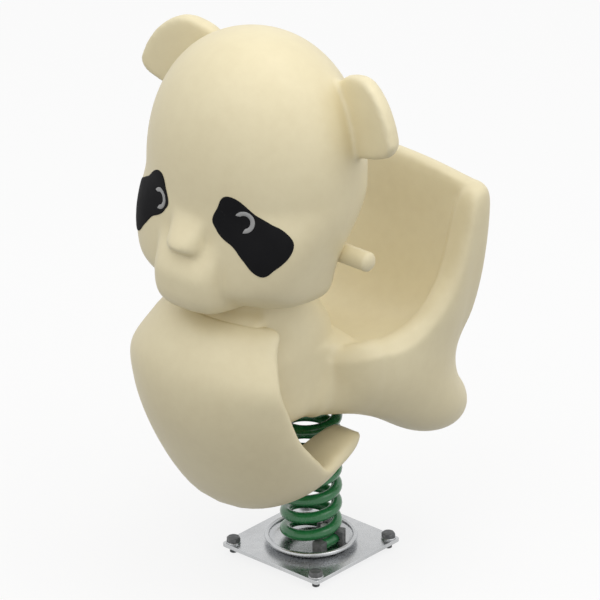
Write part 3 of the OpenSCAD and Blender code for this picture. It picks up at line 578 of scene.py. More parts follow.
@dataclass(frozen=True)
class Finish:
    """One surface finish.

    Attributes:
        slot: Material slot of the record that it shows.
        light: Lighter tone of the colour.
        deep: Deeper tone of the colour.
        worn: Colour of rubbed places.
        dirt: Colour of settled dirt.
        rough: Lowest and highest roughness.
        metal: Metallic share.
        coat: Clear coat weight.
        specular: Specular level of the bare surface.
        bump: Depth of the grain in millimetres.
        fine: Scale of the finest grain, per metre.
        rub: Strength of rubbed edges.
        scratch: Strength of scratches.
        dust: Strength of settled dirt.
    """

    slot: Slot
    light: Rgb
    deep: Rgb
    worn: Rgb
    dirt: Rgb
    rough: Pair
    metal: float = 0.0
    coat: float = 0.0
    specular: float = 0.5
    bump: float = 0.1
    fine: float = 700.0
    rub: float = 0.3
    scratch: float = 0.3
    dust: float = 0.3

    def material(self, effects: Effects) -> bpy.types.Material:
        """Builds the finish's material.

        Args:
            effects: Shared shader groups.

        Returns:
            The material, named after its slot.
        """
        made = bpy.data.materials.new(self.slot.value)
        w = rewire(made)
        grain = w.add("ShaderNodeGroup", node_tree=effects.grain)
        grain.inputs["Fine"].default_value = self.fine
        scuff = w.add("ShaderNodeGroup", node_tree=effects.scuff)
        scuff.inputs["Edge"].default_value = self.rub
        dirt = w.add("ShaderNodeGroup", node_tree=effects.dust)
        dirt.inputs["Amount"].default_value = self.dust
        scratch, mask = scuff.outputs["Scratch"], dirt.outputs["Mask"]
        colour = w.mix(w.spread(grain.outputs["Tone"], TONE_SPAN), rgba(self.deep), rgba(self.light))
        worn = w.math("MAXIMUM", scuff.outputs["Rub"], w.math("MULTIPLY", scratch, self.scratch))
        colour = w.mix(worn, colour, rgba(self.worn))
        colour = w.mix(mask, colour, rgba(self.dirt))
        rough = w.spread(grain.outputs["Gloss"], GLOSS_SPAN, self.rough)
        rough = w.math("ADD", rough, w.math("MULTIPLY", w.math("MAXIMUM", worn, mask), WORN_ROUGHER))
        height = w.math("SUBTRACT", grain.outputs["Height"], w.math("MULTIPLY", scratch, SCRATCH_DEPTH))
        bump = w.add("ShaderNodeBump", {"Height": height, "Strength": BUMP_STRENGTH, "Distance": self.bump * MM})
        shader = w.add(
            "ShaderNodeBsdfPrincipled",
            {
                "Base Color": colour,
                "Roughness": rough,
                "Metallic": self.metal,
                "Coat Weight": self.coat,
                "Specular IOR Level": self.specular,
                "Coat Roughness": COAT_ROUGH,
                "Normal": bump.outputs[0],
            },
        )
        w.add("ShaderNodeOutputMaterial", {"Surface": shader.outputs[0]})
        return made


FINISHES = (
    Finish(
        Slot.CREAM, light=(0.80, 0.715, 0.480), deep=(0.755, 0.665, 0.435), worn=(0.84, 0.78, 0.60),
        dirt=(0.40, 0.32, 0.19), rough=(0.38, 0.52), bump=0.12, fine=900.0, rub=0.25, scratch=0.22, dust=0.07,
    ),
    Finish(
        Slot.BLACK, light=(0.010, 0.010, 0.011), deep=(0.006, 0.006, 0.007), worn=(0.04, 0.04, 0.04),
        dirt=(0.06, 0.055, 0.045), rough=(0.66, 0.78), specular=0.10, bump=0.05, fine=1500.0, rub=0.2, scratch=0.3,
        dust=0.15,
    ),
    Finish(
        Slot.PALE, light=(0.33, 0.33, 0.33), deep=(0.28, 0.28, 0.28), worn=(0.40, 0.40, 0.39),
        dirt=(0.30, 0.28, 0.24), rough=(0.22, 0.32), bump=0.03, fine=1500.0, rub=0.1, scratch=0.2, dust=0.1,
    ),
    Finish(
        Slot.GREEN, light=(0.020, 0.215, 0.062), deep=(0.012, 0.160, 0.044), worn=(0.07, 0.27, 0.12),
        dirt=(0.05, 0.06, 0.035), rough=(0.20, 0.32), coat=0.35, bump=0.10, fine=500.0, rub=0.35, scratch=0.35,
        dust=0.35,
    ),
    Finish(
        Slot.GALVANISED, light=(0.60, 0.61, 0.62), deep=(0.47, 0.48, 0.49), worn=(0.72, 0.72, 0.72),
        dirt=(0.30, 0.29, 0.27), rough=(0.20, 0.32), metal=1.0, bump=0.02, fine=420.0, rub=0.4, scratch=0.4, dust=0.2,
    ),
    Finish(
        Slot.DARK, light=(0.13, 0.135, 0.14), deep=(0.085, 0.09, 0.095), worn=(0.32, 0.32, 0.32),
        dirt=(0.14, 0.12, 0.09), rough=(0.38, 0.55), metal=0.35, bump=0.05, fine=600.0, rub=0.6, scratch=0.5, dust=0.4,
    ),
    Finish(
        Slot.ZINC, light=(0.60, 0.60, 0.59), deep=(0.46, 0.46, 0.45), worn=(0.75, 0.75, 0.75),
        dirt=(0.25, 0.23, 0.20), rough=(0.24, 0.38), metal=1.0, bump=0.02, fine=800.0, rub=0.5, scratch=0.4, dust=0.3,
    ),
)


class Workshop:
    """Hands out the finishes and puts pieces in their place."""

    def __init__(self) -> None:
        """Builds the shared groups and one material for each slot."""
        effects = Effects()
        self.materials = {finish.slot: finish.material(effects) for finish in FINISHES}

    def paint(self, thing: Thing, slot: Slot) -> None:
        """Gives a mesh one finish all over."""
        thing.data.materials.clear()
        thing.data.materials.append(self.materials[slot])

    def place(self, thing: Thing, slot: Slot, body: BodyName, *nodes: str) -> None:
        """Paints a piece and lets it ride on a body in the place of CAD nodes.

        Args:
            thing: The piece.
            slot: Its finish.
            body: The body that it moves with.
            nodes: CAD nodes that it stands for.
        """
        self.paint(thing, slot)
        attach(thing, body.value)
        if nodes:
            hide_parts(*nodes)
        log.info("%s: %d faces on %s", thing.name, len(thing.data.polygons), body.value)

    def keep(self, slot: Slot, *nodes: str) -> None:
        """Paints CAD nodes that stay as they are."""
        for node in nodes:
            self.paint(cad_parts[node], slot)
            log.info("%s: kept from the frame", node)


# the rider's mouldings


@dataclass(frozen=True)
class Head:
    """Panda head with snout and ears.

    Attributes are millimetres; heights are above the head's floor. Those ending in
    span are the values between which an effect grows from none to full. The face is
    squarer than an ellipse by flat, and less so on the dome and at the chin by flat_less;
    nape draws the back of the head in below.
    """

    mould: Casting = Casting((-264.0, -326.0, 510.0), (264.0, 46.0, 934.0))
    floor: float = 518.0
    middle_y: float = -131.0
    half: float = 178.0
    face: float = 150.0
    skull: float = 166.0
    jaw_h: float = 187.0
    dome_h: float = 221.0
    dome_power: float = 2.15
    jaw_r: float = 40.0
    jaw_narrow: float = 0.17
    jaw_span: Pair = (0.1, 1.0)
    nape: float = 0.62
    nape_span: Pair = (0.08, 0.78)
    flat: float = 1.5
    flat_span: Pair = (0.0, 0.65)
    flat_less: Pair = (0.4, 0.9)
    chin_span: Pair = (0.66, 1.0)
    chin_lift: float = 17.0
    lift_span: Pair = (50.0, 150.0)
    lift_side_span: Pair = (0.7, 1.25)
    muzzle_half: float = 63.0
    muzzle_reach: float = 32.0
    muzzle_powers: Pair = (3.6, 0.5)
    muzzle_span: Pair = (58.0, 130.0)
    nose_half: float = 35.0
    nose_under_span: Pair = (80.0, 115.0)
    nose_over_span: Pair = (104.0, 166.0)
    nose_reach: float = 36.0
    nose_powers: Pair = (2.6, 0.6)
    ear_at: Pair = (-96.0, 318.0)
    ear_reach: float = 80.0
    ear_h: float = 136.0
    ear_half_t: float = 17.0
    ear_turn: float = 14.0
    ear_rims: Pair = (9.0, 26.0)
    ear_fillet: float = 9.0
    ear_steps: int = 13
    ear_top: Keys = (
        (0, -0.75, 0.18), (0.2, -0.42, 0.33), (0.4, 0.1, 0.39), (0.6, 0.56, 0.23), (0.8, 0.85, -0.01), (1, 1, -0.24)
    )
    ear_low: Keys = (
        (0, -0.16, -0.61), (0.2, 0.12, -0.57), (0.4, 0.42, -0.51), (0.6, 0.70, -0.44), (0.8, 0.91, -0.36),
        (1, 1, -0.24)
    )

    def sizes(self, h: Array) -> tuple[Array, Array, Array, Array]:
        """Half width, depth behind, face power and dome share at a height.

        Args:
            h: Heights above the head's floor.

        Returns:
            The four values at each height.
        """
        low = np.maximum((self.jaw_h - h) / self.jaw_h, 0.0)
        up = np.maximum((h - self.jaw_h) / self.dome_h, 0.0)
        half = self.half * (1 - self.jaw_narrow * ease(*self.jaw_span, low))
        rear = self.skull * (1 - self.nape * ease(*self.nape_span, low))
        on_dome, on_chin = self.flat_less
        square = ease(*self.flat_span, low - on_dome * np.minimum(up, 1.0))
        power = ROUND + self.flat * square * (1 - on_chin * ease(*self.chin_span, low))
        return half, rear, power, up

    def snout(self, x: Array, h: Array) -> Array:
        """Reach of the snout out of the plain face: the larger of the muzzle's and the nose's."""
        muzzle = self.muzzle_reach * hump(x, self.muzzle_half, self.muzzle_powers)
        muzzle = muzzle * (1 - ease(*self.muzzle_span, h))
        nose = self.nose_reach * hump(x, self.nose_half, self.nose_powers)
        nose = nose * ease(*self.nose_under_span, h) * (1 - ease(*self.nose_over_span, h))
        return np.maximum(muzzle, nose)

    def ear_outline(self) -> Array:
        """Front view of an ear: its upper edge, its lower edge, and a foot inside the head.

        Returns:
            Points of distance from the middle and height, one row each.
        """
        s = np.linspace(0, 1, self.ear_steps)
        edges = []
        for keys, places in ((self.ear_top, s), (self.ear_low, s[-2::-1])):
            table = np.asarray(keys, float)
            out = self.half + self.ear_reach * curve(table[:, :2], places)
            up = self.ear_at[1] + self.ear_h * curve(table[:, (0, 2)], places)
            edges.append(np.stack([out, up], 1))
        return np.concatenate(edges)

    def ear_field(self) -> Array:
        """Field of both ears: flat-fronted lobes with a soft rim at the back.

        Returns:
            Values at the mould's grid points, negative inside.
        """
        xs, ys, zs = self.mould.axes()
        flat = plane(np.abs(xs), zs - self.floor)
        lobe = outline_distance(flat, self.ear_outline()).reshape(len(xs), 1, len(zs))
        lean = math.tan(math.radians(self.ear_turn))
        middle = self.ear_at[0] + (self.half + self.ear_reach - np.abs(xs)) * lean
        behind = ys[None, :, None] - middle[:, None, None]
        lobe = trim(lobe, -behind - self.ear_half_t, self.ear_rims[0])
        return trim(lobe, behind - self.ear_half_t, self.ear_rims[1])

    def field(self) -> Array:
        """Field of the whole head at the mould's grid points, negative inside."""
        x, y, z = self.mould.grid()
        h = z - self.floor
        back = y - self.middle_y
        front = back < 0
        back = np.where(front, np.minimum(back + self.snout(x, h), 0.0), back)
        half, rear, power, up = self.sizes(h)
        ring = oval(x / half, back / np.where(front, self.face, rear), np.where(front, power, ROUND))
        skull = (oval(ring, up, self.dome_power) - 1) * self.face
        beside = ease(*self.lift_side_span, np.abs(x) / self.muzzle_half)
        lift = self.chin_lift * ease(*self.lift_span, -back) * beside
        skull = trim(skull, lift - h, self.jaw_r)
        return join(skull, self.ear_field(), self.ear_fillet)

    def build(self, shop: Workshop) -> Thing:
        """Makes the head's skin and places it.

        Args:
            shop: Finishes and placing.

        Returns:
            The head, on which the eyes are laid.
        """
        head = self.mould.pour("head_moulding", self.field())
        shop.place(head, Slot.CREAM, BodyName.RIDER, "head_shell", "left_ear", "right_ear")
        return head

    def spot(self, angle: Array, h: Array) -> tuple[Array, Array]:
        """Point of the plain face and its level outward direction.

        Args:
            angle: Direction round the head, in degrees.
            h: Height above the head's floor.

        Returns:
            The points and the directions, one row each.
        """

        def at(turn: Array) -> Array:
            """Points of the face in directions given in degrees."""
            half, _, power, up = self.sizes(h)
            scale = (1 - np.minimum(up, 1.0) ** self.dome_power) ** (1 / self.dome_power)
            c, s = np.cos(np.radians(turn)), np.sin(np.radians(turn))
            r = scale / oval(c / half, s / self.face, power)
            return np.stack([r * c, self.middle_y + r * s, self.floor + h], -1)

        aside = 1.0
        way = at(angle + aside) - at(angle - aside)
        out = np.stack([way[..., 1], -way[..., 0], np.zeros_like(way[..., 0])], -1)
        return at(angle), out / np.linalg.norm(out, axis=-1, keepdims=True)


@dataclass(frozen=True)
class Eyes:
    """Black eye patches laid on the face, each with a pale crescent.

    Attributes are millimetres and degrees.
    """

    at: Pair = (-50.0, 149.0)
    face_r: float = 165.0
    length: float = 136.0
    film: float = 1.5
    film_section: Keys = (
        (0.03, 1.0), (0.2, 1.0), (0.4, 1.0), (0.6, 1.0), (0.8, 1.0), (0.93, 1.0), (0.98, 0.93), (1.0, 0.72),
        (1.005, 0.3), (1.0, -0.6)
    )
    ray_start: float = 80.0
    outline: Keys = (
        (-180, 0.43), (-144, 0.27), (-105, 0.32), (-77, 0.49), (-58, 0.46), (-15, 0.46), (6, 0.36),
        (30, 0.25), (72, 0.22), (97, 0.29), (128, 0.51), (150, 0.485), (170, 0.49), (180, 0.43)
    )
    glint_at: tuple[Pair, ...] = ((-11.0, 18.0), (-43.0, 13.0))
    glint_d: float = 34.0
    glint_wide: float = 0.21
    glint_from: float = -95.0
    glint_turn: float = 240.0
    glint_tip: float = 0.1
    glint_least: float = 0.03
    glint_h: float = 0.9
    glint_section: Keys = ((0, 0.0), (0.1, 0.7), (0.5, 1.0), (0.9, 0.7), (1, 0.0), (0.5, -0.4))
    glint_steps: int = 41
    sides: int = 96

    def lay(self, head: Head, tree: BVHTree, u: Array, v: Array, out: Array, side: int) -> Array:
        """Lays points given on the patch onto the head's skin.

        Args:
            head: Sizes of the head.
            tree: Search tree of the head's mesh.
            u: Places along the face.
            v: Places up the face.
            out: Heights over the skin.
            side: 1 for the animal's left, -1 for its right.

        Returns:
            Points in millimetres with the shape of u.
        """
        points, ways = head.spot(self.at[0] + np.degrees(u / self.face_r), self.at[1] + v)
        laid = np.empty_like(points)
        for place in np.ndindex(u.shape):
            way = Vector(ways[place]) * -1
            origin = Vector(points[place]) * MM - way * (self.ray_start * MM)
            hit, normal, _, _ = tree.ray_cast(origin, way)
            if hit is None:
                hit, normal = Vector(points[place]) * MM, -way
            laid[place] = np.array(hit) / MM + np.array(normal) * out[place]
        laid[..., 0] *= side
        return laid

    def patch_r(self, b: Array) -> Array:
        """Radius of the patch's outline in a direction given in radians."""
        turn = (np.degrees(b) + 180.0) % 360.0 - 180.0
        return self.length * curve(self.outline, turn)

    def build(self, shop: Workshop, head: Head, skin_of: Thing) -> None:
        """Makes both eyes on the head's skin.

        Args:
            shop: Finishes and placing.
            head: Sizes of the head.
            skin_of: The head's mesh.
        """
        kit = bmesh.new()
        kit.from_mesh(skin_of.data)
        tree = BVHTree.FromBMesh(kit)
        kit.free()
        shares, heights = np.array(self.film_section).T
        share, b = np.meshgrid(shares, circle(self.sides), indexing="ij")
        out = np.repeat(heights[:, None] * self.film, self.sides, 1)
        u = share * self.patch_r(b) * np.cos(b)
        v = share * self.patch_r(b) * np.sin(b)
        steps = np.linspace(0, 1, self.glint_steps)
        arc = np.radians(self.glint_from + self.glint_turn * steps)
        taper = np.clip(np.minimum(steps, 1 - steps) / self.glint_tip, self.glint_least, 1.0)
        wide = self.glint_d * self.glint_wide * np.sqrt(taper * (2 - taper))
        inward, height = np.array(self.glint_section).T
        radius = self.glint_d / 2 - wide[:, None] * inward
        across, up = radius * np.cos(arc)[:, None], radius * np.sin(arc)[:, None]
        lift = self.film + np.repeat(height[None], len(steps), 0) * self.glint_h
        for name, side, (gu, gv) in zip(("left", "right"), (1, -1), self.glint_at):
            patch = skin(f"{name}_eye_film", self.lay(head, tree, u, v, out, side))
            shop.place(patch, Slot.BLACK, BodyName.RIDER, f"{name}_eye_patch")
            glint = skin(f"{name}_eye_crescent", self.lay(head, tree, gu + side * across, gv + up, lift, side))
            shop.place(glint, Slot.PALE, BodyName.RIDER, f"{name}_eye_glint")


@dataclass(frozen=True)
class Shield:
    """Front shield that runs down into the foot boards.

    Attributes are millimetres; path heights are above the carrier plate.
    """

    deck: float = 296.0
    half: float = 162.0
    thick: float = 44.0
    bow: float = 78.0
    bow_power: float = 2.2
    end: float = 0.05
    top: float = 0.03
    end_rings: int = 14
    top_rings: int = 9
    ring_gaps: Pair = (0.005, 0.004)
    tip_run: float = 0.1
    corner: float = 14.0
    shoulder: float = 22.0
    shoulder_run: float = 0.07
    collar_run: float = 0.12
    collar_inset: float = 4.0
    collar_steps: int = 40
    across_power: float = 0.55
    edge_power: float = 0.75
    least_t: float = 0.03
    probe: float = 0.002
    notch: Pair = (50.0, 72.5)
    notch_run: Pair = (0.6, 1.0)
    notch_depth: float = 0.095
    rings: int = 140
    sides: int = 120
    path: Keys = (
        (-236, 190), (-269, 166), (-295, 117), (-293.4, 54), (-270, -14), (-236, -80), (-198, -122), (-145, -132),
        (-82, -96), (-12, -59)
    )
    width: Keys = (
        (0, 0.67), (0.11, 0.76), (0.22, 0.91), (0.33, 0.945), (0.5, 0.935), (0.7, 0.88), (0.85, 0.83), (1, 0.76)
    )
    thickness: Keys = ((0, 0.68), (0.3, 1), (0.6, 1), (0.9, 1), (1, 0.95))
    curl: Keys = (
        (0, 1.5), (0.11, 1.2), (0.22, 0.9), (0.33, 1.02), (0.45, 1.1), (0.56, 1.35), (0.67, 1.5), (0.78, 1.2),
        (0.89, 0.56), (1, 0.08)
    )
    lean: Keys = ((0, 0), (0.2, -8), (0.4, 17), (0.6, 43), (0.8, 68), (1, 82))

    def centre(self, t: Array) -> Array:
        """Points of the shield's side view at shares of its length."""
        line = np.asarray(self.path, float)
        places = np.linspace(0, 1, len(line))
        return np.stack([curve(np.stack([places, line[:, k]], 1), t) for k in (0, 1)], -1)

    def ring(self, t: float) -> Array:
        """Ring of points across the shield at a share of its length."""
        a = circle(self.sides)
        last = max(0.0, (t - 1 + self.end) / self.end)
        first = max(0.0, 1 - t / self.top)
        near_end = max(0.0, (t - (1 - self.tip_run)) / self.tip_run)
        near_top = max(0.0, 1 - t / self.shoulder_run)
        half = self.half * float(curve(self.width, t)) - self.corner * (1 - arch(near_end))
        half -= self.shoulder * (1 - arch(near_top))
        x = half * spow(np.cos(a), self.across_power)
        notch = self.notch_depth * float(ease(*self.notch_run, t)) * (1 - ease(*self.notch, np.abs(x)))
        s = t * (1 - notch)
        way = self.centre(np.minimum(1, s + self.probe)) - self.centre(np.maximum(0, s - self.probe))
        out = np.stack([way[:, 1], -way[:, 0]], 1) / np.linalg.norm(way, axis=1)[:, None]
        bow = self.bow * curve(self.curl, s) * (np.abs(x) / self.half) ** self.bow_power
        slope = self.bow_power * bow / np.maximum(1.0, np.abs(x))
        full = max(self.least_t, arch(max(last, first)))
        thick = self.thick / 2 * curve(self.thickness, s) * full * spow(np.sin(a), self.edge_power)
        thick = thick / np.hypot(1.0, slope)
        lean = np.radians(curve(self.lean, s))
        p = self.centre(s) + out * thick[:, None] + np.stack([np.cos(lean), np.sin(lean)], 1) * bow[:, None]
        return np.stack([x + np.sign(x) * thick * slope, p[:, 0], self.deck + p[:, 1]], 1)

    def collar_field(self, mould: Casting) -> Array:
        """Field of the shield's upper part, a little thinner than its skin, for filleting the torso to it.

        Args:
            mould: Grid of the moulding.

        Returns:
            Values at the grid points, negative inside.
        """
        xs, ys, zs = mould.axes()
        flat = plane(ys, zs - self.deck)[:, None]
        share = np.linspace(0.0, self.collar_run, self.collar_steps)
        lean = np.radians(curve(self.lean, share))
        way = np.stack([np.cos(lean), np.sin(lean)], 1)
        inset = self.thick / 2 * curve(self.thickness, share) - self.collar_inset
        half = self.half * curve(self.width, share) - inset - self.shoulder
        field = np.empty((len(xs), len(ys), len(zs)))
        for i, x in enumerate(np.abs(xs)):
            bow = self.bow * curve(self.curl, share) * (np.minimum(x, half) / self.half) ** self.bow_power
            line = self.centre(share) + way * bow[:, None]
            gap = np.sqrt(((flat - line) ** 2).sum(-1) + np.maximum(x - half, 0.0) ** 2) - inset
            field[i] = gap.min(1).reshape(len(ys), len(zs))
        return field

    def build(self, shop: Workshop) -> None:
        """Makes the shield's skin and places it."""
        even = np.linspace(0, 1, self.rings)
        late = 1 - self.end * np.cos(np.linspace(0, np.pi / 2, self.end_rings))
        start = self.top * (1 - np.cos(np.linspace(0, np.pi / 2, self.top_rings)))
        after_top, before_end = self.ring_gaps
        even = even[(even > self.top + after_top) & (even < 1 - self.end - before_end)]
        places = np.concatenate([start, even, late])
        thing = skin("shield_moulding", np.array([self.ring(float(t)) for t in places]))
        shop.place(thing, Slot.CREAM, BodyName.RIDER, "front_shield")


@dataclass(frozen=True)
class Body:
    """Torso, bucket seat and hind legs above the carrier plate.

    Attributes are millimetres; heights are above the carrier plate. Shares are of the
    seat's half width, of the rim's thickness t or of the height between base and rim.
    """

    mould: Casting = Casting((-208.0, -288.0, 184.0), (208.0, 232.0, 640.0))
    deck: float = 296.0
    torso_half: float = 106.0
    neck_half: float = 86.0
    torso_h: float = 222.0
    torso_back: float = -18.0
    neck_back: float = -64.0
    neck_front: float = -222.0
    neck_rise: float = 4.0
    neck_r: float = 8.0
    chest: Pair = (112.0, 156.0)
    front_keys: Keys = ((-14, -270), (54, -294), (118, -297), (172, -281), (208, -258))
    front_gap: float = 26.4
    front_power: float = 2.3
    back_power: Pair = (30.0, 2.6)
    back_levels: Pair = (64.0, 126.0)
    far: float = 3.0
    rear_from: float = 132.0
    hem: float = 40.0
    seat_front: float = -17.0
    seat_l: float = 237.5
    seat_half: float = 197.0
    rim_h: float = 109.0
    back_h: float = 322.0
    pan_h: float = 80.0
    rim_t: float = 46.0
    rim_roll: Keys = ((0.07, 0.26), (0.26, 0.07), (0.5, 0.0))
    rim_inside: Keys = ((0.30, 0.05), (0.13, 0.18))
    lip_drop: float = 0.46
    side_steps: Sequence[float] = (0.25, 0.5, 0.75)
    side_lean: float = 0.16
    pan_steps: Keys = ((0.74, 0.07), (0.52, 0.0), (0.25, 0.0), (0.0, 0.0))
    pan_under_rim: float = 2.0
    section_parts: int = 3
    back_round: float = 31.0
    back_draw: float = 0.85
    back_crown: float = 14.0
    lap: float = 64.0
    lap_narrow: float = 0.34
    lap_drop: float = 12.0
    leg_at: Point = (118.0, 108.0, -24.0)
    leg_size: Point = (60.0, 112.0, 70.0)
    leg_tilt: float = 0.434
    plate_half: float = 69.0
    seat_fillet: Point = (6.0, 8.0, 34.0)
    fillet_side: Pair = (95.0, 135.0)
    fillet_level: Pair = (20.0, 90.0)
    leg_fillet: float = 72.0
    collar_fillet: float = 44.0
    plate_r: float = 5.0
    margin: float = 40.0
    last_slice: float = 0.5
    rim_keys: Keys = (
        (0, 0.02), (0.07, 0), (0.24, 0.04), (0.41, 0.16), (0.58, 0.38), (0.68, 0.65), (0.76, 0.93), (0.845, 1), (1, 1)
    )
    width_keys: Keys = ((0, 0.845), (0.07, 0.873), (0.41, 0.964), (0.70, 1), (0.87, 0.995), (1, 0.965))
    pan_keys: Keys = (
        (0, 0.025), (0.07, 0.017), (0.32, 0), (0.51, 0.066), (0.64, 0.24), (0.75, 0.64), (0.83, 1.02), (1, 1.06)
    )
    base_keys: Keys = ((0, 0), (0.58, 0), (0.74, 0.012), (0.89, 0.12), (1, 0.36))
    flank: Keys = (
        (0, 0), (0.36, 0), (0.52, 0.01), (0.66, 0.05), (0.74, 0.10), (0.81, 0.17), (0.87, 0.26), (0.94, 0.45),
        (0.985, 0.68), (1, 0.87)
    )

    def section(self, y: float) -> Array:
        """Outline of the seat across the rider at one place along it.

        Args:
            y: Place along the rider.

        Returns:
            Points of x and height, one row each.
        """
        share = (y - self.seat_front) / self.seat_l
        rim = self.rim_h + (self.back_h - self.rim_h) * float(curve(self.rim_keys, share))
        wide = self.seat_half * float(curve(self.width_keys, share))
        ahead = max(0.0, self.seat_front - y) / self.lap
        wide *= 1 - self.lap_narrow * ahead**2
        rim -= self.lap_drop * ahead**2
        deep = self.pan_h + (self.back_h - self.pan_h) * float(curve(self.pan_keys, share))
        base = self.back_h * max(0.0, float(curve(self.base_keys, share)))
        t = self.rim_t
        inner = wide - t

        def pan(x: float) -> float:
            """Height of the seat's inside, kept below the rim."""
            crown = self.back_crown * (1 - (x / (wide - t / 2)) ** 2)
            return min(deep, rim - self.pan_under_rim + crown)

        lip = max(rim - self.lip_drop * t, pan(inner))
        half = [(wide * a, base + (rim - base) * b) for a, b in self.flank]
        half += [(wide - a * t, rim - b * t) for a, b in self.rim_roll]
        half += [(inner + a * t, max(rim - b * t, pan(inner + a * t))) for a, b in self.rim_inside]
        half.append((inner, lip))
        for f in self.side_steps:
            x = inner * (1 - self.side_lean * f * f)
            half.append((x, lip + (pan(x) - lip) * f))
        for a, b in self.pan_steps:
            x = inner * a
            half.append((x, pan(x) + (lip - pan(x)) * b))
        half_ring = np.array(half)
        ring = np.concatenate([half_ring, half_ring[-2:0:-1] * (-1, 1)])
        late = max(0.0, y - (self.seat_front + self.seat_l - self.back_round)) / self.back_round
        draw = self.back_draw * self.back_round * (1 - arch(late))
        middle, tall = (rim + base) / 2, (rim - base) / 2
        ring[:, 0] = np.sign(ring[:, 0]) * np.maximum(0.0, np.abs(ring[:, 0]) - draw)
        ring[:, 1] = middle + (ring[:, 1] - middle) * (1 - draw / tall)
        return closed_spline(ring, self.section_parts)

    def seat_field(self) -> Array:
        """Field of the seat, slice by slice.

        Returns:
            Values at the mould's grid points, negative inside.
        """
        xs, ys, zs = self.mould.axes()
        right = xs[xs > -self.mould.step / 2]
        flat = plane(right, zs - self.deck)
        field = np.empty((len(xs), len(ys), len(zs)))
        start, end = self.seat_front - self.lap, self.seat_front + self.seat_l
        for i, y in enumerate(ys):
            if start - self.margin < y < end + self.margin:
                cut = float(np.clip(y, start, end - self.last_slice))
                half = outline_distance(flat, self.section(cut)).reshape(len(right), len(zs))
            else:
                half = np.full((len(right), len(zs)), self.margin)
            whole = np.concatenate([half[:0:-1], half])[-len(xs) :]
            field[:, i] = np.maximum(whole, max(y - end, start - y))
        return field

    def torso_field(self, x: Array, y: Array, h: Array) -> Array:
        """Field of the upright torso and the hips, negative inside."""
        s = ease(*self.chest, h)
        front = (curve(self.front_keys, np.minimum(h, self.chest[0])) + self.front_gap) * (1 - s) + self.neck_front * s
        rear = self.torso_back + (self.neck_back - self.torso_back) * ease(self.rear_from, self.torso_h, h)
        half = self.torso_half + (self.neck_half - self.torso_half) * ease(self.chest[0], self.torso_h, h)
        v = (y - (front + rear) / 2) / ((rear - front) / 2)
        square, plain = self.back_power
        power = square + (plain - square) * ease(*self.back_levels, h)
        ring = oval(x / half, np.clip(v, -self.far, self.far), np.where(v < 0, self.front_power, power))
        column = trim((np.minimum(ring, self.far) - 1) * self.torso_half, -h, self.hem)
        return trim(column, h - self.torso_h - self.neck_rise, self.neck_r)

    def leg_field(self, x: Array, y: Array, h: Array) -> Array:
        """Field of both hind legs: long lobes that slope down to the back."""
        cx, cy, ch = self.leg_at
        sx, sy, sz = self.leg_size
        level = ch - self.leg_tilt * (y - cy)
        lobe = np.sqrt(((np.abs(x) - cx) / sx) ** 2 + ((y - cy) / sy) ** 2 + ((h - level) / sz) ** 2)
        return (lobe - 1) * sx

    def build(self, shop: Workshop) -> None:
        """Makes the body's skin and places it."""
        x, y, z = self.mould.grid()
        h = z - self.deck
        least, middle, low = self.seat_fillet
        soft = least + middle * (1 - ease(*self.fillet_side, np.abs(x))) + low * (1 - ease(*self.fillet_level, h))
        body = join(self.seat_field(), self.torso_field(x, y, h), soft)
        body = join(body, self.leg_field(x, y, h), self.leg_fillet)
        body = join(body, Shield().collar_field(self.mould), self.collar_fillet)
        body = trim(body, -np.maximum(np.abs(x) - self.plate_half, h), self.plate_r)
        thing = self.mould.pour("body_moulding", body)
        shop.place(thing, Slot.CREAM, BodyName.RIDER, "torso_shell", "seat_shell")


# spring, base and handle


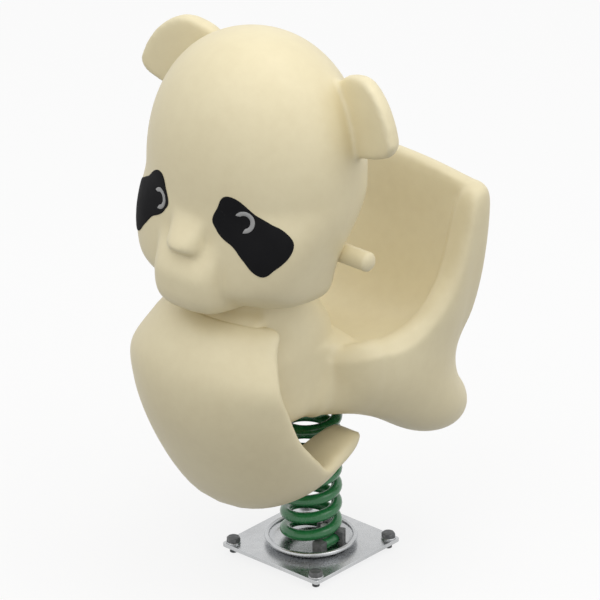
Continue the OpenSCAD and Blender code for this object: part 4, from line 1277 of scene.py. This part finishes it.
@dataclass(frozen=True)
class Spring:
    """Green coil spring between the dish and the carrier plate.

    Attributes are millimetres and turns. The tail's rings are given by their distance
    and their share of the rod's radius.
    """

    radius: float = 40.5
    wire: float = 9.0
    turns: float = 9.0
    start_z: float = 19.4
    rise: float = 259.2
    flat: float = 0.2
    soft: float = 0.2
    held: float = 12.0
    tail: Keys = ((18.0, 0.02), (18.0, 0.88), (17.0, 1.0), (9.0, 1.0))
    sides: int = 24
    steps: int = 36

    def height(self, turn: Array) -> Array:
        """Height of the rod's middle line after some turns."""

        def eased(x: Array) -> Array:
            """Turns that count as climbing, with a soft start."""
            return np.where(x <= 0, 0.0, np.where(x < self.soft, x**2 / (2 * self.soft), x - self.soft / 2))

        pitch = self.rise / (self.turns - 2 * self.flat - self.soft)
        rising = pitch * eased(turn - self.flat)
        falling = self.rise - pitch * eased(self.turns - self.flat - turn)
        return np.where(turn < self.turns / 2, rising, falling)

    def rod(self, turn: Array, along: Array, size: Array) -> Array:
        """Rings of the rod.

        Args:
            turn: Place of each ring along the coil.
            along: Distance of each ring along the straight tail.
            size: Share of the rod's radius at each ring.

        Returns:
            Points by ring and by place round the rod.
        """
        angle = turn * 2 * np.pi
        out = np.stack([np.cos(angle), np.sin(angle), np.zeros_like(angle)], 1)
        way = np.stack([-out[:, 1], out[:, 0], np.zeros_like(angle)], 1)
        middle = out * self.radius + way * along[:, None]
        middle[:, 2] = self.start_z + self.height(turn)
        b = circle(self.sides)
        level = out[:, None, :] * np.cos(b)[None, :, None]
        level[:, :, 2] += np.sin(b)[None, :]
        return middle[:, None, :] + level * (self.wire * size)[:, None, None]

    def build(self, shop: Workshop) -> None:
        """Makes the coil in two halves in the place of the frame's coil."""
        count = int(self.steps * self.turns / 2) + 1
        half = np.linspace(0, self.turns / 2, count)
        run, size = np.array(self.tail).T
        ends, straight, full = np.zeros(len(run)), np.zeros(count), np.ones(count)
        lower = self.rod(*map(np.concatenate, ([ends, half], [-run, straight], [size, full])))
        turns = [half + self.turns / 2, self.turns - ends]
        upper = self.rod(*map(np.concatenate, (turns, [straight, run[::-1]], [full, size[::-1]])))
        middle = (self.start_z + self.rise / 2) * MM
        foot, top = (self.start_z + self.held) * MM, (self.start_z + self.rise - self.held) * MM
        halves = (
            ("lower_coil", lower, BodyName.BASE, BodyName.SPRING, foot, middle - self.wire * MM),
            ("upper_coil", upper, BodyName.SPRING, BodyName.RIDER, middle + self.wire * MM, top),
        )
        for name, rings, first, second, start, end in halves:
            thing = skin(name, rings)
            shop.paint(thing, Slot.GREEN)
            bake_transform(thing)
            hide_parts("coil_spring")
            log.info("%s: %d faces, bends from %s to %s", name, len(thing.data.polygons), first.value, second.value)


@dataclass(frozen=True)
class Base:
    """Square base plate with anchor bolts and the dish round the spring's foot.

    Attributes are millimetres. The thread is given by pitch, depth and run-out, and the
    head's rings by their share of the half flats and their depth below the top.
    """

    plate_w: float = 200.0
    plate_t: float = 7.0
    corner_r: float = 4.0
    anchor_at: float = 87.0
    anchor_d: float = 12.0
    washer_d: float = 24.0
    washer_t: float = 2.5
    head_h: float = 7.44
    head_flats: float = 19.2
    reach: float = 10.0
    plate_edge: float = 0.9
    plate_insets: Pair = (0.992, 0.9944)
    corner_steps: int = 6
    stud_tip: float = 1.2
    thread: Point = (1.75, 0.75, 0.9)
    head_rings: Keys = ((2.0, 1.8), (1.06, 1.0), (0.94, 0.1), (0.86, 0.0))
    bolt_sides: int = 36
    washer_gap: float = 0.4
    washer_under: Pair = (0.3, 0.4)
    washer_over: float = 0.5
    washer_sides: int = 48
    dish_d: float = 148.0
    dish_h: float = 14.0
    dish_t: float = 3.0
    dish_lip: float = 1.3
    dish_wall: float = 0.45
    dish_under: Keys = ((-4, 0.0), (-1, 0.3), (0.6, 1.4))
    dish_inside: Keys = ((1.6, 1.6), (-1, 0.4), (-4, 0))
    dish_roll: tuple[float, float, int] = (-40, 220, 22)
    dish_sides: int = 128

    def plate(self, shop: Workshop) -> None:
        """Makes the plate with slightly rounded corners and edges."""
        edge, r, t = self.plate_w / 2, self.corner_r, self.plate_t
        outline = []
        for quarter, (cx, cy) in enumerate(((1, 1), (-1, 1), (-1, -1), (1, -1))):
            turn = np.radians(90 * quarter + np.linspace(0, 90, self.corner_steps))
            outline += [(cx * (edge - r) + r * math.cos(a), cy * (edge - r) + r * math.sin(a)) for a in turn]
        flat = np.array(outline)
        under, over = self.plate_insets
        steps = ((under, 0.0), (1.0, self.plate_edge), (1.0, t - self.plate_edge), (over, t))
        rings = [np.column_stack([flat * share, np.full(len(flat), z)]) for share, z in steps]
        thing = skin("base_sheet", np.array(rings))
        set_sharp(thing, degrees=30)
        shop.place(thing, Slot.GALVANISED, BodyName.BASE, "base_plate")

    def dish(self, shop: Workshop) -> None:
        """Makes the pressed dish with its rolled lip."""
        lip = self.dish_t * self.dish_lip
        rim = self.dish_d / 2 - lip
        foot = rim - self.dish_h * self.dish_wall
        top, t = self.dish_h - lip, self.dish_t
        under = [(SLIVER, 0.0)] + [(foot + a, b) for a, b in self.dish_under]
        turn = np.radians(np.linspace(*self.dish_roll))
        roll = [(rim + lip * math.cos(a), top + lip * math.sin(a)) for a in turn]
        inside = [(foot - t + a, t + b) for a, b in self.dish_inside] + [(SLIVER, t)]
        profile = np.array(under + roll + inside) + (0.0, self.plate_t)
        thing = lathe("spring_pan", profile, self.dish_sides, closed=False)
        set_sharp(thing, degrees=50)
        shop.place(thing, Slot.GALVANISED, BodyName.BASE, "spring_dish")

    def bolt(self, x: float, y: float) -> Array:
        """Rings of one anchor bolt from its stud's end up to its domed head.

        Args:
            x: Place of the bolt along X.
            y: Place of the bolt along Y.

        Returns:
            Points by ring and by place round the bolt.
        """
        turn = circle(self.bolt_sides)
        r, half = self.anchor_d / 2, self.head_flats / 2
        seat = self.plate_t + self.washer_t
        top = seat + self.head_h
        pitch, depth, run_out = self.thread
        levels = [(SLIVER, -self.reach), (r - self.stud_tip, -self.reach)]
        level = -self.reach + run_out
        while level < -run_out:
            levels += [(r, level), (r - depth, level + pitch / 2)]
            level += pitch
        hexagon = half / np.cos((turn + np.pi / 6) % (np.pi / 3) - np.pi / 6)
        levels += [(r, seat), (hexagon, seat)]
        levels += [(np.minimum(hexagon, half * share), top - drop) for share, drop in self.head_rings]
        levels.append((SLIVER, top))
        rings = [
            np.stack([x + radius * np.cos(turn), y + radius * np.sin(turn), np.full(len(turn), z)], 1)
            for radius, z in levels
        ]
        return np.array(rings)

    def bolts(self, shop: Workshop) -> None:
        """Makes the four anchor bolts and their washers."""
        inner, outer = self.anchor_d / 2 + self.washer_gap, self.washer_d / 2
        z, top, over = self.plate_t, self.plate_t + self.washer_t, self.washer_over
        side, up = self.washer_under
        section = [
            (inner, z), (outer - side, z), (outer, z + up), (outer, top - over), (outer - over, top), (inner, top)
        ]
        sides = (-self.anchor_at, self.anchor_at)
        for number, (x, y) in enumerate(plane(sides, sides), 1):
            thing = skin(f"anchor_bolt_{number}", self.bolt(x, y))
            set_sharp(thing, degrees=28)
            shop.place(thing, Slot.DARK, BodyName.BASE, "anchor_bolts")
            ring = lathe(f"anchor_washer_{number}", np.array(section), self.washer_sides, closed=True)
            ring.data.transform(Matrix.Translation((x * MM, y * MM, 0)))
            set_sharp(ring, degrees=35)
            shop.place(ring, Slot.GALVANISED, BodyName.BASE, "anchor_washers")

    def build(self, shop: Workshop) -> None:
        """Makes all pieces of the base."""
        self.plate(shop)
        self.dish(shop)
        self.bolts(shop)
        shop.keep(Slot.DARK, "lower_clamps", "lower_end_stop")
        shop.keep(Slot.ZINC, "lower_clamp_bolts")


@dataclass(frozen=True)
class Handle:
    """Hand grips on the tube across the head.

    Attributes are millimetres.
    """

    at: Pair = (-95.0, 592.0)
    length: float = 414.0
    grip_d: float = 31.0
    grip_in: float = 60.0
    edge: float = 1.0
    dome: float = 0.6
    dome_rings: int = 12
    margins: Pair = (8.0, 4.0)
    straight_rings: int = 6
    sides: int = 48

    def build(self, shop: Workshop) -> None:
        """Makes both grips and paints the tube."""
        r, tip = self.grip_d / 2, self.length / 2
        rise, (near, far) = self.dome * r, self.margins
        turn = np.radians(np.linspace(0, 90, self.dome_rings))
        dome = [(max(SLIVER, r * math.cos(a)), tip - rise + rise * math.sin(a)) for a in turn]
        start = [(SLIVER, self.grip_in), (r - self.edge, self.grip_in), (r, self.grip_in + self.edge)]
        middle = [(r, z) for z in np.linspace(self.grip_in + near, tip - rise - far, self.straight_rings)]
        for name, side in (("left", 1), ("right", -1)):
            thing = lathe(f"{name}_hand_grip", np.array(start + middle + dome), self.sides, closed=False)
            lay = Matrix.Rotation(side * math.pi / 2, 4, "Y")
            thing.data.transform(Matrix.Translation((0, self.at[0] * MM, self.at[1] * MM)) @ lay)
            set_sharp(thing, degrees=50)
            shop.place(thing, Slot.CREAM, BodyName.RIDER, f"{name}_grip")
        shop.keep(Slot.DARK, "handle_tube")


@dataclass(frozen=True)
class Carrier:
    """Steel plate, clamps and bolts under and inside the mouldings."""

    def build(self, shop: Workshop) -> None:
        """Paints the steel that stays as the frame has it."""
        shop.keep(Slot.DARK, "carrier_plate", "upper_clamps", "upper_end_stop")
        shop.keep(Slot.ZINC, "upper_clamp_bolts", "carrier_bolts", "carrier_nuts")
        shop.keep(Slot.ZINC, "shield_bolts", "shield_nuts", "neck_bolts", "neck_nuts")


# studio


@dataclass(frozen=True)
class Lamp:
    """Square soft lamp that points at the rider.

    Attributes:
        name: Name of the lamp.
        place: Where it hangs, in metres.
        size: Side of the square, in metres.
        power: Power in watts.
        aim: Point that it shines at, in metres.
    """

    name: str
    place: Point
    size: float
    power: float
    aim: Point = (0.0, -0.05, 0.5)

    def hang(self) -> None:
        """Adds the lamp to the scene."""
        data = bpy.data.lights.new(self.name, "AREA")
        data.energy = self.power
        data.size = self.size
        lamp = add_object(self.name, data)
        lamp.location = self.place
        way = Vector(self.aim) - Vector(self.place)
        lamp.rotation_euler = way.to_track_quat("-Z", "Y").to_euler()


@dataclass(frozen=True)
class Studio:
    """White studio with the photograph's camera.

    Attributes are degrees, metres and light strengths.
    """

    azimuth: float = 41.5
    elevation: float = 25.8
    view: float = 5.0
    distance: float = 10.906
    clip_end: float = 100.0
    aim: Point = (0.0, 0.0, 0.004)
    aim_px: Pair = (311.0, 541.5)
    frame_px: float = 600.0
    floor_z: float = -0.0105
    floor_reach: float = 14.0
    paper_tones: Pair = (0.86, 0.88)
    paper_scale: float = 3.0
    ambient: float = 0.79
    floor_bounce: float = 0.30
    glow_share: float = 0.80
    lamps: tuple[Lamp, ...] = (
        Lamp("top_light", (0.0, -1.6, 2.9), 2.2, 15.0),
        Lamp("seat_light", (0.5, 0.35, 3.1), 1.4, 11.0),
        Lamp("right_light", (2.6, 0.6, 2.6), 2.0, 15.0),
    )

    def camera(self) -> None:
        """Sets up the camera at the photograph's viewing angle."""
        a, e = math.radians(self.azimuth), math.radians(self.elevation)
        right = Vector((math.cos(a), math.sin(a), 0))
        back = Vector((math.sin(a) * math.cos(e), -math.cos(a) * math.cos(e), math.sin(e)))
        up = back.cross(right)
        scale = self.distance * math.tan(math.radians(self.view / 2)) / (self.frame_px / 2)
        off_x = (self.aim_px[0] - self.frame_px / 2) * scale
        off_y = (self.frame_px / 2 - self.aim_px[1]) * scale
        lens = bpy.data.cameras.new("photo_camera")
        lens.angle = math.radians(self.view)
        lens.clip_end = self.clip_end
        camera = add_object("photo_camera", lens)
        place = Vector(self.aim) + back * self.distance - right * off_x - up * off_y
        turn = Matrix((right, up, back)).transposed().to_4x4()
        camera.matrix_world = Matrix.Translation(place) @ turn
        bpy.context.scene.camera = camera

    def seen_directly(self, w: Wiring) -> Socket:
        """Mask that is 1 for what the camera sees, mirrored images included."""
        path = w.add("ShaderNodeLightPath")
        seen = w.math("MAXIMUM", path.outputs["Is Camera Ray"], path.outputs["Is Glossy Ray"])
        return w.math("MAXIMUM", seen, path.outputs["Is Transmission Ray"])

    def surroundings(self) -> None:
        """Makes the white world and the pale floor that keeps a soft shadow."""
        world = bpy.data.worlds.new("studio")
        w = rewire(world)
        shade = w.mix(self.seen_directly(w), grey(self.ambient), rgba(WHITE))
        back = w.add("ShaderNodeBackground", {"Color": shade, "Strength": 1.0})
        w.add("ShaderNodeOutputWorld", {"Surface": back.outputs[0]})
        bpy.context.scene.world = world
        corners = plane((-1, 1), (-1, 1)) * self.floor_reach / MM
        points = np.column_stack([corners, np.full(len(corners), self.floor_z / MM)])
        floor = add_mesh("studio_floor", points, [(0, 2, 3, 1)])
        paper = bpy.data.materials.new("studio_paper")
        w = rewire(paper)
        low, high = map(grey, self.paper_tones)
        pale = w.mix(w.noise(w.place(), self.paper_scale), low, high)
        tone = w.mix(self.seen_directly(w), grey(self.floor_bounce), pale)
        matt = w.add("ShaderNodeBsdfDiffuse", {"Color": tone})
        glow = w.add("ShaderNodeEmission", {"Color": rgba(WHITE), "Strength": 1.0})
        share = w.math("MULTIPLY", self.seen_directly(w), self.glow_share)
        both = w.add("ShaderNodeMixShader", {0: share, 1: matt.outputs[0], 2: glow.outputs[0]})
        w.add("ShaderNodeOutputMaterial", {"Surface": both.outputs[0]})
        floor.data.materials.append(paper)

    def build(self) -> None:
        """Sets up camera, lamps, world and floor."""
        bpy.context.scene.view_settings.view_transform = "Standard"
        self.camera()
        self.surroundings()
        for lamp in self.lamps:
            lamp.hang()


def main() -> None:
    """Builds the rider's sub-assemblies in order."""
    logging.basicConfig(level=logging.INFO, format="%(message)s")
    Studio().build()
    shop = Workshop()
    head = Head()
    head_skin = head.build(shop)
    Eyes().build(shop, head, head_skin)
    Body().build(shop)
    Shield().build(shop)
    Spring().build(shop)
    Base().build(shop)
    Handle().build(shop)
    Carrier().build(shop)


if __name__ == "__main__":
    main()
